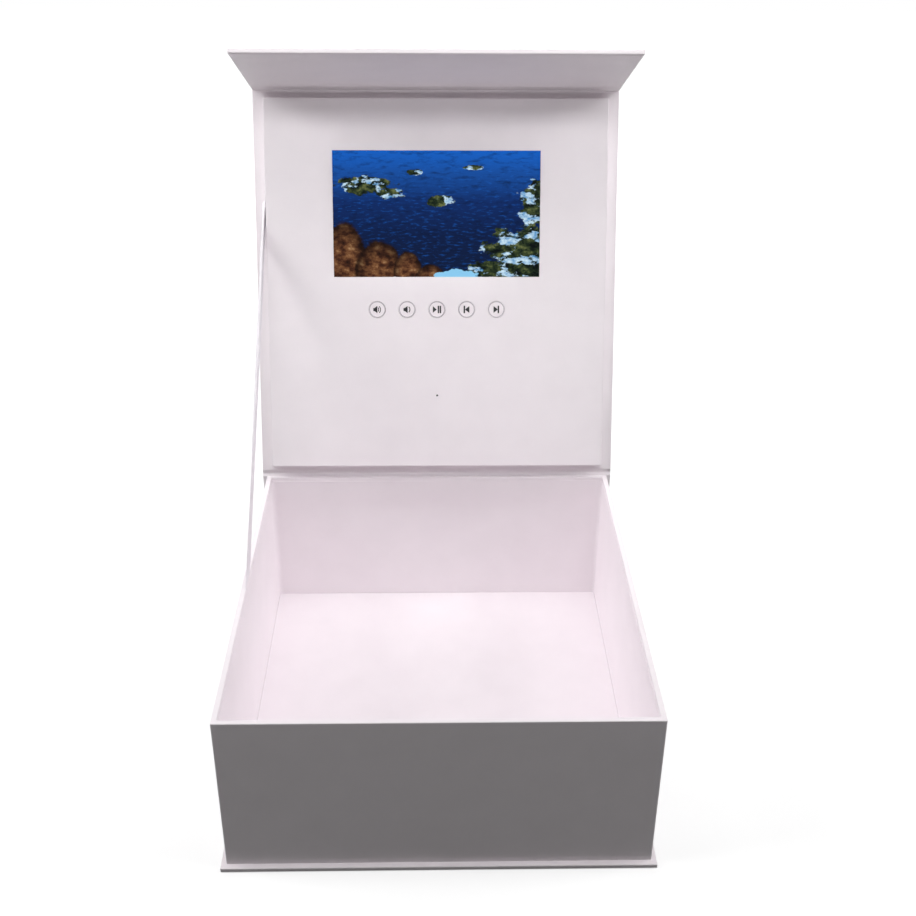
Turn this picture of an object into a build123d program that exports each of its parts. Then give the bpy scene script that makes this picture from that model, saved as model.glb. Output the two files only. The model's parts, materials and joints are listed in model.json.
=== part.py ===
"""Video gift box: a book-style case with a rigid tray, a lid that carries a 7 inch screen, and a magnetic flap.

Millimetres. +X is to the right, +Y to the back and +Z up. The origin is on the underside of the base,
below the middle of the tray. The lid stands open against its ribbon, as it does when the box is shown.
"""

from build123d import *
from math import atan2, cos, hypot, pi, radians, sin, tan
import os

# ---------------------------------------------------------------- driving dimensions
# Boards and papers
PAPER = 0.25  # laminated art paper with its glue
CASE_BOARD = 2.5  # greyboard of the base, spine, lid and flap
TRAY_BOARD = 3.0  # greyboard of the tray
FACE_BOARD = 1.5  # greyboard of the screen panel
TURN_IN = 15.0  # margin of paper folded over the edge of a case board
RIM_TURN_IN = 20.0  # margin of the tray's paper folded down inside the rim
LINING_INSET = 2.0  # a case lining stops this far from the board's edge
LINING_DROP = 3.0  # the wall lining stops this far below the rim
WRAP_RADIUS = 0.6  # outside corner of the wrapped tray

# Tray
TRAY_W = 262.0
TRAY_D = 282.0
TRAY_H = 112.0

# Case
CASE_OVERHANG = 3.25  # case beyond the tray, left and right
SPINE_DROP = 0.5  # the spine board stops this far below the rim
LID_CLEAR = 0.3  # closed lid above the rim
FLAP_CLEAR = 0.6  # closed flap in front of the tray
HINGE_GAP = 2.5  # bare paper between a fold's axis and the board beside it
FLAP_LENGTH = 110.0
OPEN_ANGLE = 109.0  # lid, from closed to the ribbon's stop
FLAP_ANGLE = 95.5  # between lid and flap, as shown
GLUE_TAIL = 20.0  # inner hinge paper glued down between tray and spine

# Screen panel
PANEL_RAISE = 9.0  # face above the lid's lining
PANEL_FIT = 1.75  # gap to the tray's walls when closed
SCREEN_W = 152.4  # visible area of a 7 inch 15:9 display
SCREEN_H = 91.4
SCREEN_UP = 195.4  # middle of the screen, up the lid from its hinge
BUTTONS_BELOW = 24.0  # button centres below the visible area
PINHOLE_BELOW = 64.7  # pinhole below the button centres
LCD_SIDE = 6.3  # display case beyond the visible area, left and right
LCD_ABOVE = 4.5
LCD_BELOW = 8.1
LCD_DEPTH = 5.5
LCD_WALL = 0.4
LCD_WINDOW_MARGIN = 1.0  # bezel's window beyond the visible area
GLASS_DEPTH = 1.6
GLASS_MARGIN = 2.5  # glass beyond the visible area
POCKET_FIT = 0.5  # gap round a component in its pocket

# Buttons
BUTTON_COUNT = 5
BUTTON_PITCH = 22.2
BUTTON_D = 12.0
BUTTON_GAP = 0.3  # cap to its hole, all round
BUTTON_FLANGE = 1.2  # flange beyond the cap's radius, which keeps the cap in
BUTTON_FLANGE_T = 0.6
BUTTON_TRAVEL = 0.4
BUTTON_PLAY = 0.3  # free space in front of the flange and under the stem at full travel
STEM_D = 3.5
STEM_L = 0.6
SWITCH_SIDE = 6.0
SWITCH_DOME_D = 3.4
SWITCH_DOME_H = 0.5
BUTTON_BOARD_H = 15.0
BUTTON_BOARD_END = 9.0  # strip beyond the outer switches' centres

# Player board, under the pinhole
PINHOLE_D = 1.6
PCB_T = 1.2
BOARD_FLOOR = 1.0  # circuit boards above the lid's lining
MAIN_W = 84.0
MAIN_H = 46.0
MAIN_BELOW = 21.2  # player board's edge below the button strip
BOARD_RADIUS = 1.5
CONNECTOR_W = 25.0
CONNECTOR_H = 4.0
CONNECTOR_T = 1.6
CHIP_T = 1.2
PROCESSOR_SIDE = 14.0
MEMORY_W = 12.0
MEMORY_H = 18.0
REGULATOR_SIDE = 5.0
CHIP_SPACING = 24.0
SENSOR_SIDE = 3.0
SENSOR_T = 1.0

# Battery, speaker and socket
BATTERY_H = 55.0
BATTERY_T = 5.0
BATTERY_SIDE = 9.5  # battery to the panel's side
BATTERY_RUN = 14.0  # leads between battery and player board
BATTERY_RADIUS = 1.5
SPEAKER_D = 36.0
SPEAKER_T = 5.0
SPEAKER_RUN = 24.0  # leads between player board and speaker
SPEAKER_RAISE = 4.0  # speaker's centre above the player board's
SPEAKER_RIM = 2.0
SPEAKER_PLATE = 0.6
SPEAKER_MAGNET_D = 20.0
SPEAKER_MAGNET_T = 2.2
CONE_T = 0.4
CONE_BACK_D = 16.0
GRILLE_HOLE_D = 2.0
GRILLE_RING_D = 18.0
GRILLE_HOLES = 8
LEAD_D = 1.2
LEAD_SPACING = 2.4
LEAD_JOG = 7.0
ARC_SHARE = 0.45  # share of a run that one lead's arc may use
TAPE_INSET = 3.0  # foam tape pads stop this far inside a board's outline
TAPE_PAD_W = 18.0
USB_BELOW = 15.0  # socket's centre below the player board
USB_W = 7.6
USB_H = 2.8
USB_L = 5.6
USB_WALL = 0.35
USB_TONGUE_T = 0.8
USB_BOARD_W = 15.0
USB_BOARD_H = 16.0
USB_SETBACK = 0.5  # socket's mouth behind the panel's side
FLEX_W = 22.0
FLEX_T = 0.2
FLEX_RAMP = 3.0

# Magnets
MAGNET_D = 12.0
MAGNET_T = 1.5
STRIKE_D = 14.0
STRIKE_T = 1.0
MAGNET_X = 80.0
MAGNET_DOWN = 92.0  # from the flap's fold

# Ribbon
RIBBON_T = 0.3
RIBBON_UP = 190.0  # its edge nearest the hinge leaves the lid here
RIBBON_W = 15.0
RIBBON_TAB = 14.0  # glued under the panel
RIBBON_LAND = -11.0  # its front edge crosses the rim here
RIBBON_LAND_W = 24.0  # its width along the rim
RIBBON_TAIL = 26.0  # glued behind the wall lining
RIBBON_FIT = 0.2

# ---------------------------------------------------------------- worked-out places
CASE_T = CASE_BOARD + 3 * PAPER  # outer paper, board, turn-in, lining
CASE_WRAPPED = CASE_BOARD + 2 * PAPER
HALF_T = CASE_T / 2
CASE_W = TRAY_W + 2 * CASE_OVERHANG
BOARD_W = CASE_W - 2 * PAPER
LINING_W = CASE_W - 2 * LINING_INSET
INNER_W = CASE_W - 2 * TURN_IN

TRAY_Z = CASE_WRAPPED  # the tray stands on the base's turn-ins
RIM_Z = TRAY_Z + TRAY_H
BOARDS_LOW = TRAY_Z + PAPER
BOARDS_HIGH = RIM_Z - PAPER
WALL = TRAY_BOARD + 3 * PAPER
TURNED = TRAY_BOARD + 2 * PAPER  # wall without its lining
FLOOR_TOP = BOARDS_LOW + TRAY_BOARD + PAPER
FRONT_Y = -TRAY_D / 2
BACK_Y = TRAY_D / 2

SPINE_BACK = BACK_Y + CASE_WRAPPED
SPINE_TOP = RIM_Z - SPINE_DROP
LIP_FRONT = FRONT_Y - FLAP_CLEAR - CASE_T  # base lip ends flush with the closed flap

HINGE_Y = SPINE_BACK - HALF_T
HINGE_Z = RIM_Z + LID_CLEAR + HALF_T
LID_LENGTH = HINGE_Y - FRONT_Y + FLAP_CLEAR + HALF_T
LEAN = OPEN_ANGLE - 90.0
SPLAY = FLAP_ANGLE - 90.0

UP_LID = Vector(0, sin(radians(LEAN)), cos(radians(LEAN)))
OUT_OF_LID = Vector(0, -cos(radians(LEAN)), sin(radians(LEAN)))
OUT_OF_FLAP = OUT_OF_LID * sin(radians(SPLAY)) - UP_LID * cos(radians(SPLAY))
HINGE = Vector(0, HINGE_Y, HINGE_Z)
FOLD = HINGE + UP_LID * LID_LENGTH

# Each case plane lies on the outer face of its board, with Y away from the fold and Z inwards.
RIGHT = (1, 0, 0)
BASE = Plane.XY
SPINE = Plane(origin=(0, SPINE_BACK, 0), x_dir=RIGHT, z_dir=(0, -1, 0))
LID = Plane(origin=HINGE - OUT_OF_LID * HALF_T, x_dir=RIGHT, z_dir=OUT_OF_LID)
FLAP = Plane(origin=FOLD - OUT_OF_FLAP * HALF_T, x_dir=RIGHT, z_dir=OUT_OF_FLAP)

# Levels above the lid's outer face
FACE_LEVEL = CASE_T + PANEL_RAISE
FACE_BOARD_TOP = FACE_LEVEL - PAPER
FRAME_TOP = FACE_BOARD_TOP - FACE_BOARD
BOARD_LEVEL = CASE_T + BOARD_FLOOR
PCB_TOP = BOARD_LEVEL + PCB_T

PANEL_W = TRAY_W - 2 * WALL - 2 * PANEL_FIT
PANEL_LOW = HINGE_Y - (BACK_Y - WALL - PANEL_FIT)
PANEL_HIGH = HINGE_Y - (FRONT_Y + WALL + PANEL_FIT)
FRAME_W = PANEL_W - 2 * PAPER
LCD_W = SCREEN_W + 2 * LCD_SIDE
LCD_LOW = SCREEN_UP - SCREEN_H / 2 - LCD_BELOW
LCD_HIGH = SCREEN_UP + SCREEN_H / 2 + LCD_ABOVE
GLASS_W = SCREEN_W + 2 * GLASS_MARGIN
GLASS_LOW = SCREEN_UP - SCREEN_H / 2 - GLASS_MARGIN
GLASS_HIGH = SCREEN_UP + SCREEN_H / 2 + GLASS_MARGIN

BUTTON_UP = SCREEN_UP - SCREEN_H / 2 - BUTTONS_BELOW
PINHOLE_UP = BUTTON_UP - PINHOLE_BELOW
FLANGE_TOP = FRAME_TOP - BUTTON_PLAY
FLANGE_LOW = FLANGE_TOP - BUTTON_FLANGE_T
STEM_LOW = FLANGE_LOW - STEM_L
SWITCH_TOP = STEM_LOW - BUTTON_TRAVEL - BUTTON_PLAY - SWITCH_DOME_H
BUTTON_BOARD_W = (BUTTON_COUNT - 1) * BUTTON_PITCH + 2 * BUTTON_BOARD_END
BUTTON_BOARD_LOW = BUTTON_UP - BUTTON_BOARD_H / 2
BUTTON_BOARD_HIGH = BUTTON_UP + BUTTON_BOARD_H / 2

LEAD_CHANNEL = LEAD_SPACING + LEAD_D + 2 * POCKET_FIT
JOG_CHANNEL = LEAD_CHANNEL + LEAD_JOG
LEAD_SIDES = (-LEAD_SPACING / 2, LEAD_SPACING / 2)
LEAD_LEVEL = BOARD_LEVEL + LEAD_D / 2
UPRIGHT = Axis(origin=LID.origin, direction=LID.z_dir)

RIBBON_X = -(TRAY_W / 2 - TURNED) - RIBBON_T  # outer face of the ribbon
RIBBON_HIGH = RIBBON_UP + RIBBON_W

os.makedirs("parts", exist_ok=True)


def keep(block, name):
    """Labels a finished sub-part and writes its file."""
    block.part.label = name
    export_step(block.part, f"parts/{name}.step")


def slab(plane, level, thickness, width, low, high, mode=Mode.ADD, middle=0.0):
    """Adds a flat rectangular layer to the sub-part being built, or cuts one from it."""
    with BuildSketch(plane.offset(level)) as outline:
        with Locations((middle, (low + high) / 2)):
            Rectangle(width, high - low)
    extrude(outline.sketch, amount=thickness, mode=mode)


def disc(plane, level, thickness, diameter, places, mode=Mode.ADD):
    """Adds round layers at the given places, or cuts them."""
    with BuildSketch(plane.offset(level)) as outline:
        with Locations(*places):
            Circle(diameter / 2)
    extrude(outline.sketch, amount=thickness, mode=mode)


def case_board(plane, low, high, folded_low=False, folded_high=False):
    """The greyboard of one case panel, inside its paper."""
    start = low + (PAPER if folded_low else 0)
    end = high - (PAPER if folded_high else 0)
    slab(plane, PAPER, CASE_BOARD, BOARD_W, start, end)


def case_wrap(plane, low, high, folded_low=False, folded_high=False):
    """The outer paper of one case panel: outer face, folded edges and turned-in margins."""
    slab(plane, 0, CASE_WRAPPED, CASE_W, low, high)
    start = low + (PAPER if folded_low else 0)
    end = high - (PAPER if folded_high else 0)
    slab(plane, PAPER, CASE_BOARD, BOARD_W, start, end, Mode.SUBTRACT)
    start = low + (TURN_IN if folded_low else 0)
    end = high - (TURN_IN if folded_high else 0)
    slab(plane, PAPER + CASE_BOARD, PAPER, INNER_W, start, end, Mode.SUBTRACT)


def case_lining(plane, low, high, folded_high=False):
    """The inner paper of one case panel, which lies on the turned-in margins and in between them."""
    end = high - (TURN_IN if folded_high else 0)
    slab(plane, CASE_WRAPPED - PAPER, PAPER, INNER_W, low, end)
    end = high - (LINING_INSET if folded_high else 0)
    slab(plane, CASE_WRAPPED, PAPER, LINING_W, low, end)


def section(plane, along, level):
    """A point of a case plane, as (Y, Z), for outlines drawn in the side view."""
    point = plane.from_local_coords(Vector(0, along, level))
    return (point.Y, point.Z)


def strip(points, width, middle=0.0):
    """A thin piece of constant width whose side view is the given outline."""
    with BuildSketch(Plane.YZ.offset(middle - width / 2)) as outline:
        with BuildLine():
            Polyline(*points, close=True)
        make_face()
    extrude(outline.sketch, amount=width)


def pocket(width, low, high, middle=0.0, floor=CASE_T):
    """A pocket in the panel's frame, open to the front, with its gap round the component."""
    slab(LID, floor, FRAME_TOP - floor, width + 2 * POCKET_FIT, low - POCKET_FIT, high + POCKET_FIT,
         Mode.SUBTRACT, middle)


def round_pocket(diameter, places, floor):
    """A round pocket in the panel's frame, with the same gap."""
    disc(LID, floor, FRAME_TOP - floor, diameter + 2 * POCKET_FIT, places, Mode.SUBTRACT)


def channel(width, low, high, middle=0.0):
    """A channel through the panel's frame, for leads or the flex."""
    slab(LID, CASE_T, FRAME_TOP - CASE_T, width, low, high, Mode.SUBTRACT, middle)


# ---------------------------------------------------------------- case: base and spine
with BuildPart() as base_board:
    case_board(BASE, LIP_FRONT, BACK_Y, folded_low=True)
keep(base_board, "base_board")

with BuildPart() as base_wrap:
    case_wrap(BASE, LIP_FRONT, BACK_Y, folded_low=True)
keep(base_wrap, "base_wrap")

with BuildPart() as spine_board:
    case_board(SPINE, CASE_WRAPPED, SPINE_TOP)
keep(spine_board, "spine_board")

# The spine's paper turns the lower back corner in a quarter round to meet the base's paper.
with BuildPart() as spine_wrap:
    case_wrap(SPINE, CASE_WRAPPED, SPINE_TOP)
    with BuildSketch(Plane.YZ.offset(-CASE_W / 2)):
        with BuildLine():
            outer = CenterArc((BACK_Y, CASE_WRAPPED), CASE_WRAPPED, -90, 90)
            inner = CenterArc((BACK_Y, CASE_WRAPPED), CASE_WRAPPED - PAPER, -90, 90)
            Line(outer @ 0, inner @ 0)
            Line(outer @ 1, inner @ 1)
        make_face()
    extrude(amount=CASE_W)
keep(spine_wrap, "spine_wrap")

# ---------------------------------------------------------------- tray boards
BOARDS = Plane.XY.offset(BOARDS_LOW)
BOARD_RISE = BOARDS_HIGH - BOARDS_LOW
WIDE = TRAY_W - 2 * PAPER
DEEP = TRAY_D - 2 * PAPER - 2 * TRAY_BOARD
FRONT_BOARD = Plane(origin=(0, FRONT_Y + PAPER, 0), x_dir=RIGHT, z_dir=(0, 1, 0))
MAGNET_PLACES = [(-MAGNET_X, MAGNET_DOWN), (MAGNET_X, MAGNET_DOWN)]
STRIKE_Z = HINGE_Z - MAGNET_DOWN  # level with the magnets when the box is closed
STRIKE_PLACES = [(-MAGNET_X, -STRIKE_Z), (MAGNET_X, -STRIKE_Z)]

with BuildPart() as tray_front_board:
    slab(BOARDS, 0, BOARD_RISE, WIDE, FRONT_Y + PAPER, FRONT_Y + PAPER + TRAY_BOARD)
    disc(FRONT_BOARD, 0, STRIKE_T, STRIKE_D, STRIKE_PLACES, Mode.SUBTRACT)
keep(tray_front_board, "tray_front_board")

with BuildPart() as strike_plates:
    disc(FRONT_BOARD, 0, STRIKE_T, STRIKE_D, STRIKE_PLACES)
keep(strike_plates, "strike_plates")

with BuildPart() as tray_back_board:
    slab(BOARDS, 0, BOARD_RISE, WIDE, BACK_Y - PAPER - TRAY_BOARD, BACK_Y - PAPER)
keep(tray_back_board, "tray_back_board")

# The ribbon runs from the lid to the left wall and on behind the wall lining, in one flat strip.
lid_back = section(LID, RIBBON_UP, CASE_T)
lid_front = section(LID, RIBBON_HIGH, CASE_T)
rim_front = (RIBBON_LAND, RIM_Z)
rim_back = (RIBBON_LAND + RIBBON_LAND_W, RIM_Z)
fall = Vector(lid_front[0] - rim_front[0], lid_front[1] - rim_front[1]).normalized() * RIBBON_TAIL
tail_front = (rim_front[0] - fall.X, rim_front[1] - fall.Y)
tail_back = (rim_back[0] - fall.X, rim_back[1] - fall.Y)


def ribbon_slot():
    """Cuts the shallow seat of the ribbon's glued tail."""
    fit = RIBBON_FIT
    with BuildSketch(Plane.YZ.offset(RIBBON_X)) as outline:
        with BuildLine():
            Polyline((rim_front[0] - fit, RIM_Z + fit), (rim_back[0] + fit, RIM_Z + fit),
                     (tail_back[0] + fit, tail_back[1] - fit), (tail_front[0] - fit, tail_front[1] - fit),
                     close=True)
        make_face()
    extrude(outline.sketch, amount=RIBBON_T, mode=Mode.SUBTRACT)


with BuildPart() as tray_left_board:
    slab(BOARDS, 0, BOARD_RISE, TRAY_BOARD, -DEEP / 2, DEEP / 2, middle=-(WIDE - TRAY_BOARD) / 2)
    ribbon_slot()
keep(tray_left_board, "tray_left_board")

with BuildPart() as tray_right_board:
    slab(BOARDS, 0, BOARD_RISE, TRAY_BOARD, -DEEP / 2, DEEP / 2, middle=(WIDE - TRAY_BOARD) / 2)
keep(tray_right_board, "tray_right_board")

with BuildPart() as tray_floor_board:
    slab(BOARDS, 0, TRAY_BOARD, WIDE - 2 * TRAY_BOARD, -DEEP / 2, DEEP / 2)
keep(tray_floor_board, "tray_floor_board")

# ---------------------------------------------------------------- tray papers
TURNED_W = TRAY_W - 2 * TURNED
TURNED_D = TRAY_D - 2 * TURNED
INSIDE_W = TRAY_W - 2 * WALL
INSIDE_D = TRAY_D - 2 * WALL
BOARD_FACE_W = WIDE - 2 * TRAY_BOARD
BOARD_FACE_D = DEEP
GROUND = Plane.XY

with BuildPart() as tray_wrap:
    slab(GROUND, TRAY_Z, TRAY_H, TRAY_W, FRONT_Y, BACK_Y)
    fillet(tray_wrap.edges().filter_by(Axis.Z), WRAP_RADIUS)
    slab(GROUND, BOARDS_LOW, BOARD_RISE, WIDE, FRONT_Y + PAPER, BACK_Y - PAPER, Mode.SUBTRACT)
    slab(GROUND, TRAY_Z, PAPER, TRAY_W - 2 * TURN_IN, FRONT_Y + TURN_IN, BACK_Y - TURN_IN, Mode.SUBTRACT)
    slab(GROUND, RIM_Z - RIM_TURN_IN, RIM_TURN_IN, BOARD_FACE_W, -BOARD_FACE_D / 2, BOARD_FACE_D / 2)
    slab(GROUND, RIM_Z - RIM_TURN_IN, RIM_TURN_IN, TURNED_W, -TURNED_D / 2, TURNED_D / 2, Mode.SUBTRACT)
    ribbon_slot()
keep(tray_wrap, "tray_wrap")

with BuildPart() as wall_lining:
    tall = RIM_Z - LINING_DROP - (FLOOR_TOP - PAPER)
    slab(GROUND, FLOOR_TOP - PAPER, tall, TURNED_W, -TURNED_D / 2, TURNED_D / 2)
    low_part = RIM_Z - RIM_TURN_IN - (FLOOR_TOP - PAPER)
    slab(GROUND, FLOOR_TOP - PAPER, low_part, BOARD_FACE_W, -BOARD_FACE_D / 2, BOARD_FACE_D / 2)
    slab(GROUND, FLOOR_TOP - PAPER, tall, INSIDE_W, -INSIDE_D / 2, INSIDE_D / 2, Mode.SUBTRACT)
    ribbon_slot()
keep(wall_lining, "wall_lining")

with BuildPart() as floor_lining:
    slab(GROUND, FLOOR_TOP - PAPER, PAPER, INSIDE_W, -INSIDE_D / 2, INSIDE_D / 2)
keep(floor_lining, "floor_lining")

# ---------------------------------------------------------------- ribbon
with BuildPart() as stay_ribbon:
    strip([lid_front, lid_back, rim_back, tail_back, tail_front, rim_front], RIBBON_T, RIBBON_X + RIBBON_T / 2)
    tab_end = -PANEL_W / 2 + RIBBON_TAB
    slab(LID, CASE_T, RIBBON_T, tab_end - RIBBON_X, RIBBON_UP, RIBBON_HIGH, middle=(tab_end + RIBBON_X) / 2)
keep(stay_ribbon, "stay_ribbon")

# ---------------------------------------------------------------- lid
LID_LOW = HINGE_GAP
LID_HIGH = LID_LENGTH - HINGE_GAP

with BuildPart() as lid_board:
    case_board(LID, LID_LOW, LID_HIGH)
keep(lid_board, "lid_board")

with BuildPart() as lid_wrap:
    case_wrap(LID, LID_LOW, LID_HIGH)
keep(lid_wrap, "lid_wrap")

with BuildPart() as lid_lining:
    case_lining(LID, LID_LOW, LID_HIGH)
keep(lid_lining, "lid_lining")

# The papers across the lid's joint, in the open position: outer paper behind, inner paper in front.
with BuildPart() as lid_hinge_paper:
    bend = HALF_T * tan(radians(LEAN / 2))
    inner_bend = (HALF_T - PAPER) * tan(radians(LEAN / 2))
    strip([(SPINE_BACK, SPINE_TOP), section(LID, bend, 0), section(LID, LID_LOW, 0),
           section(LID, LID_LOW, PAPER), section(LID, inner_bend, PAPER), (SPINE_BACK - PAPER, SPINE_TOP)],
          CASE_W)
keep(lid_hinge_paper, "lid_hinge_paper")

with BuildPart() as lid_hinge_lining:
    strip([(BACK_Y, SPINE_TOP), section(LID, LID_LOW, CASE_T), section(LID, LID_LOW, CASE_WRAPPED),
           (BACK_Y + PAPER, SPINE_TOP)], LINING_W)
    strip([(BACK_Y, SPINE_TOP - GLUE_TAIL), (BACK_Y, SPINE_TOP), (BACK_Y + PAPER, SPINE_TOP),
           (BACK_Y + PAPER, SPINE_TOP - GLUE_TAIL)], INNER_W)
keep(lid_hinge_lining, "lid_hinge_lining")

# ---------------------------------------------------------------- screen panel
BUTTON_XS = [(i - (BUTTON_COUNT - 1) / 2) * BUTTON_PITCH for i in range(BUTTON_COUNT)]
BUTTON_PLACES = [(x, BUTTON_UP) for x in BUTTON_XS]
BUTTON_HOLE_D = BUTTON_D + 2 * BUTTON_GAP
MAIN_HIGH = BUTTON_BOARD_LOW - MAIN_BELOW
MAIN_UP = MAIN_HIGH - MAIN_H / 2
MAIN_LOW = MAIN_HIGH - MAIN_H
BATTERY_W = PANEL_W / 2 - BATTERY_SIDE - BATTERY_RUN - MAIN_W / 2
BATTERY_X = -(PANEL_W / 2 - BATTERY_SIDE - BATTERY_W / 2)
BATTERY_LOW = MAIN_UP - BATTERY_H / 2
BATTERY_HIGH = MAIN_UP + BATTERY_H / 2
SPEAKER_X = MAIN_W / 2 + SPEAKER_RUN + SPEAKER_D / 2
SPEAKER_UP = MAIN_UP + SPEAKER_RAISE
SPEAKER_PLACE = [(SPEAKER_X, SPEAKER_UP)]
SPEAKER_LOW = FRAME_TOP - SPEAKER_T
PLATE_LOW = SPEAKER_LOW + SPEAKER_MAGNET_T
CONE_LOW = PLATE_LOW + SPEAKER_PLATE
CONE_HIGH = FRAME_TOP - CONE_T
LCD_BACK = FRAME_TOP - LCD_DEPTH
USB_UP = MAIN_LOW - USB_BELOW
USB_MOUTH_X = PANEL_W / 2 - USB_SETBACK
USB_BOARD_X = USB_MOUTH_X - USB_SETBACK - USB_BOARD_W / 2
USB_BOARD_LEFT = USB_BOARD_X - USB_BOARD_W / 2
USB_TURN = ARC_SHARE * (MAIN_LOW - USB_UP)  # radius of the leads' corner below the player board
FLEX_LEVEL = LCD_BACK + LCD_WALL
FLEX_LOW_LEVEL = CASE_T + (BOARD_FLOOR - FLEX_T) / 2
FLEX_END = MAIN_HIGH - CONNECTOR_H

with BuildPart() as module_frame:
    slab(LID, CASE_T, FRAME_TOP - CASE_T, FRAME_W, PANEL_LOW + PAPER, PANEL_HIGH - PAPER)
    pocket(LCD_W, LCD_LOW, LCD_HIGH, floor=LCD_BACK)
    pocket(BUTTON_BOARD_W, BUTTON_BOARD_LOW, BUTTON_BOARD_HIGH)
    pocket(MAIN_W, MAIN_LOW, MAIN_HIGH)
    pocket(BATTERY_W, BATTERY_LOW, BATTERY_HIGH, BATTERY_X)
    round_pocket(SPEAKER_D, SPEAKER_PLACE, PLATE_LOW)
    round_pocket(SPEAKER_MAGNET_D, SPEAKER_PLACE, SPEAKER_LOW)
    pocket(FRAME_W / 2 - USB_BOARD_LEFT, USB_UP - USB_BOARD_H / 2, USB_UP + USB_BOARD_H / 2,
           (FRAME_W / 2 + USB_BOARD_LEFT) / 2)
    # Battery to player, player to speaker, and player under the buttons to the display
    channel(-BATTERY_X, MAIN_UP - JOG_CHANNEL / 2, MAIN_UP + JOG_CHANNEL / 2, BATTERY_X / 2)
    channel(SPEAKER_X - SPEAKER_D / 2, SPEAKER_UP - JOG_CHANNEL / 2, SPEAKER_UP + JOG_CHANNEL / 2,
            (SPEAKER_X - SPEAKER_D / 2) / 2)
    channel(FLEX_W + 2 * POCKET_FIT, MAIN_UP, LCD_LOW + LCD_BELOW)
    # Socket to player: along below the speaker, round a corner and up
    channel(USB_BOARD_X + LEAD_CHANNEL / 2, USB_UP - LEAD_CHANNEL / 2, USB_UP + LEAD_CHANNEL / 2,
            (USB_BOARD_X - LEAD_CHANNEL / 2) / 2)
    channel(LEAD_CHANNEL, USB_UP, MAIN_UP)
    channel(LEAD_CHANNEL + USB_TURN, USB_UP, USB_UP + LEAD_CHANNEL / 2 + USB_TURN, USB_TURN / 2)
    # Seat of the ribbon's tab
    slab(LID, CASE_T, RIBBON_T, RIBBON_TAB + RIBBON_FIT, RIBBON_UP - RIBBON_FIT, RIBBON_HIGH + RIBBON_FIT,
         Mode.SUBTRACT, -PANEL_W / 2 + (RIBBON_TAB + RIBBON_FIT) / 2)
keep(module_frame, "module_frame")

# The sound holes are under the paper, which lets the sound through.
GRILLE_PLACES = SPEAKER_PLACE + [
    (SPEAKER_X + GRILLE_RING_D / 2 * cos(2 * pi * i / GRILLE_HOLES),
     SPEAKER_UP + GRILLE_RING_D / 2 * sin(2 * pi * i / GRILLE_HOLES))
    for i in range(GRILLE_HOLES)
]
SCREEN_LOW = SCREEN_UP - SCREEN_H / 2
SCREEN_HIGH = SCREEN_UP + SCREEN_H / 2

with BuildPart() as face_board:
    slab(LID, FRAME_TOP, FACE_BOARD, FRAME_W, PANEL_LOW + PAPER, PANEL_HIGH - PAPER)
    slab(LID, FRAME_TOP, FACE_BOARD, SCREEN_W, SCREEN_LOW, SCREEN_HIGH, Mode.SUBTRACT)
    disc(LID, FRAME_TOP, FACE_BOARD, BUTTON_HOLE_D, BUTTON_PLACES, Mode.SUBTRACT)
    disc(LID, FRAME_TOP, FACE_BOARD, PINHOLE_D, [(0, PINHOLE_UP)], Mode.SUBTRACT)
    disc(LID, FRAME_TOP, FACE_BOARD, GRILLE_HOLE_D, GRILLE_PLACES, Mode.SUBTRACT)
keep(face_board, "face_board")

with BuildPart() as face_paper:
    slab(LID, CASE_T, PANEL_RAISE, PANEL_W, PANEL_LOW, PANEL_HIGH)
    slab(LID, CASE_T, PANEL_RAISE - PAPER, FRAME_W, PANEL_LOW + PAPER, PANEL_HIGH - PAPER, Mode.SUBTRACT)
    slab(LID, FACE_BOARD_TOP, PAPER, SCREEN_W, SCREEN_LOW, SCREEN_HIGH, Mode.SUBTRACT)
    disc(LID, FACE_BOARD_TOP, PAPER, BUTTON_HOLE_D, BUTTON_PLACES, Mode.SUBTRACT)
    disc(LID, FACE_BOARD_TOP, PAPER, PINHOLE_D, [(0, PINHOLE_UP)], Mode.SUBTRACT)
    # Slot for the ribbon on the left, opening for the socket on the right
    slab(LID, CASE_T, RIBBON_T, PAPER, RIBBON_UP - RIBBON_FIT, RIBBON_HIGH + RIBBON_FIT, Mode.SUBTRACT,
         -(PANEL_W - PAPER) / 2)
    slab(LID, PCB_TOP - POCKET_FIT, USB_H + 2 * POCKET_FIT, PAPER, USB_UP - USB_W / 2 - POCKET_FIT,
         USB_UP + USB_W / 2 + POCKET_FIT, Mode.SUBTRACT, (PANEL_W - PAPER) / 2)
keep(face_paper, "face_paper")

# ---------------------------------------------------------------- display
# A folded steel tray at the back, a bezel at the front, and the glass and backlight between them
with BuildPart() as lcd_tray:
    slab(LID, LCD_BACK, LCD_DEPTH - LCD_WALL, LCD_W, LCD_LOW, LCD_HIGH)
    slab(LID, LCD_BACK + LCD_WALL, LCD_DEPTH, LCD_W - 2 * LCD_WALL, LCD_LOW + LCD_WALL, LCD_HIGH - LCD_WALL,
         Mode.SUBTRACT)
    slab(LID, FLEX_LEVEL, 2 * FLEX_T, FLEX_W + POCKET_FIT, LCD_LOW, LCD_LOW + LCD_WALL, Mode.SUBTRACT)
keep(lcd_tray, "lcd_tray")

with BuildPart() as lcd_bezel:
    window = LCD_WINDOW_MARGIN
    slab(LID, FRAME_TOP - LCD_WALL, LCD_WALL, LCD_W, LCD_LOW, LCD_HIGH)
    slab(LID, FRAME_TOP - LCD_WALL, LCD_WALL, SCREEN_W + 2 * window, SCREEN_LOW - window, SCREEN_HIGH + window,
         Mode.SUBTRACT)
keep(lcd_bezel, "lcd_bezel")

with BuildPart() as lcd_glass:
    slab(LID, FRAME_TOP - LCD_WALL - GLASS_DEPTH, GLASS_DEPTH, GLASS_W, GLASS_LOW, GLASS_HIGH)
keep(lcd_glass, "lcd_glass")

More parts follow.
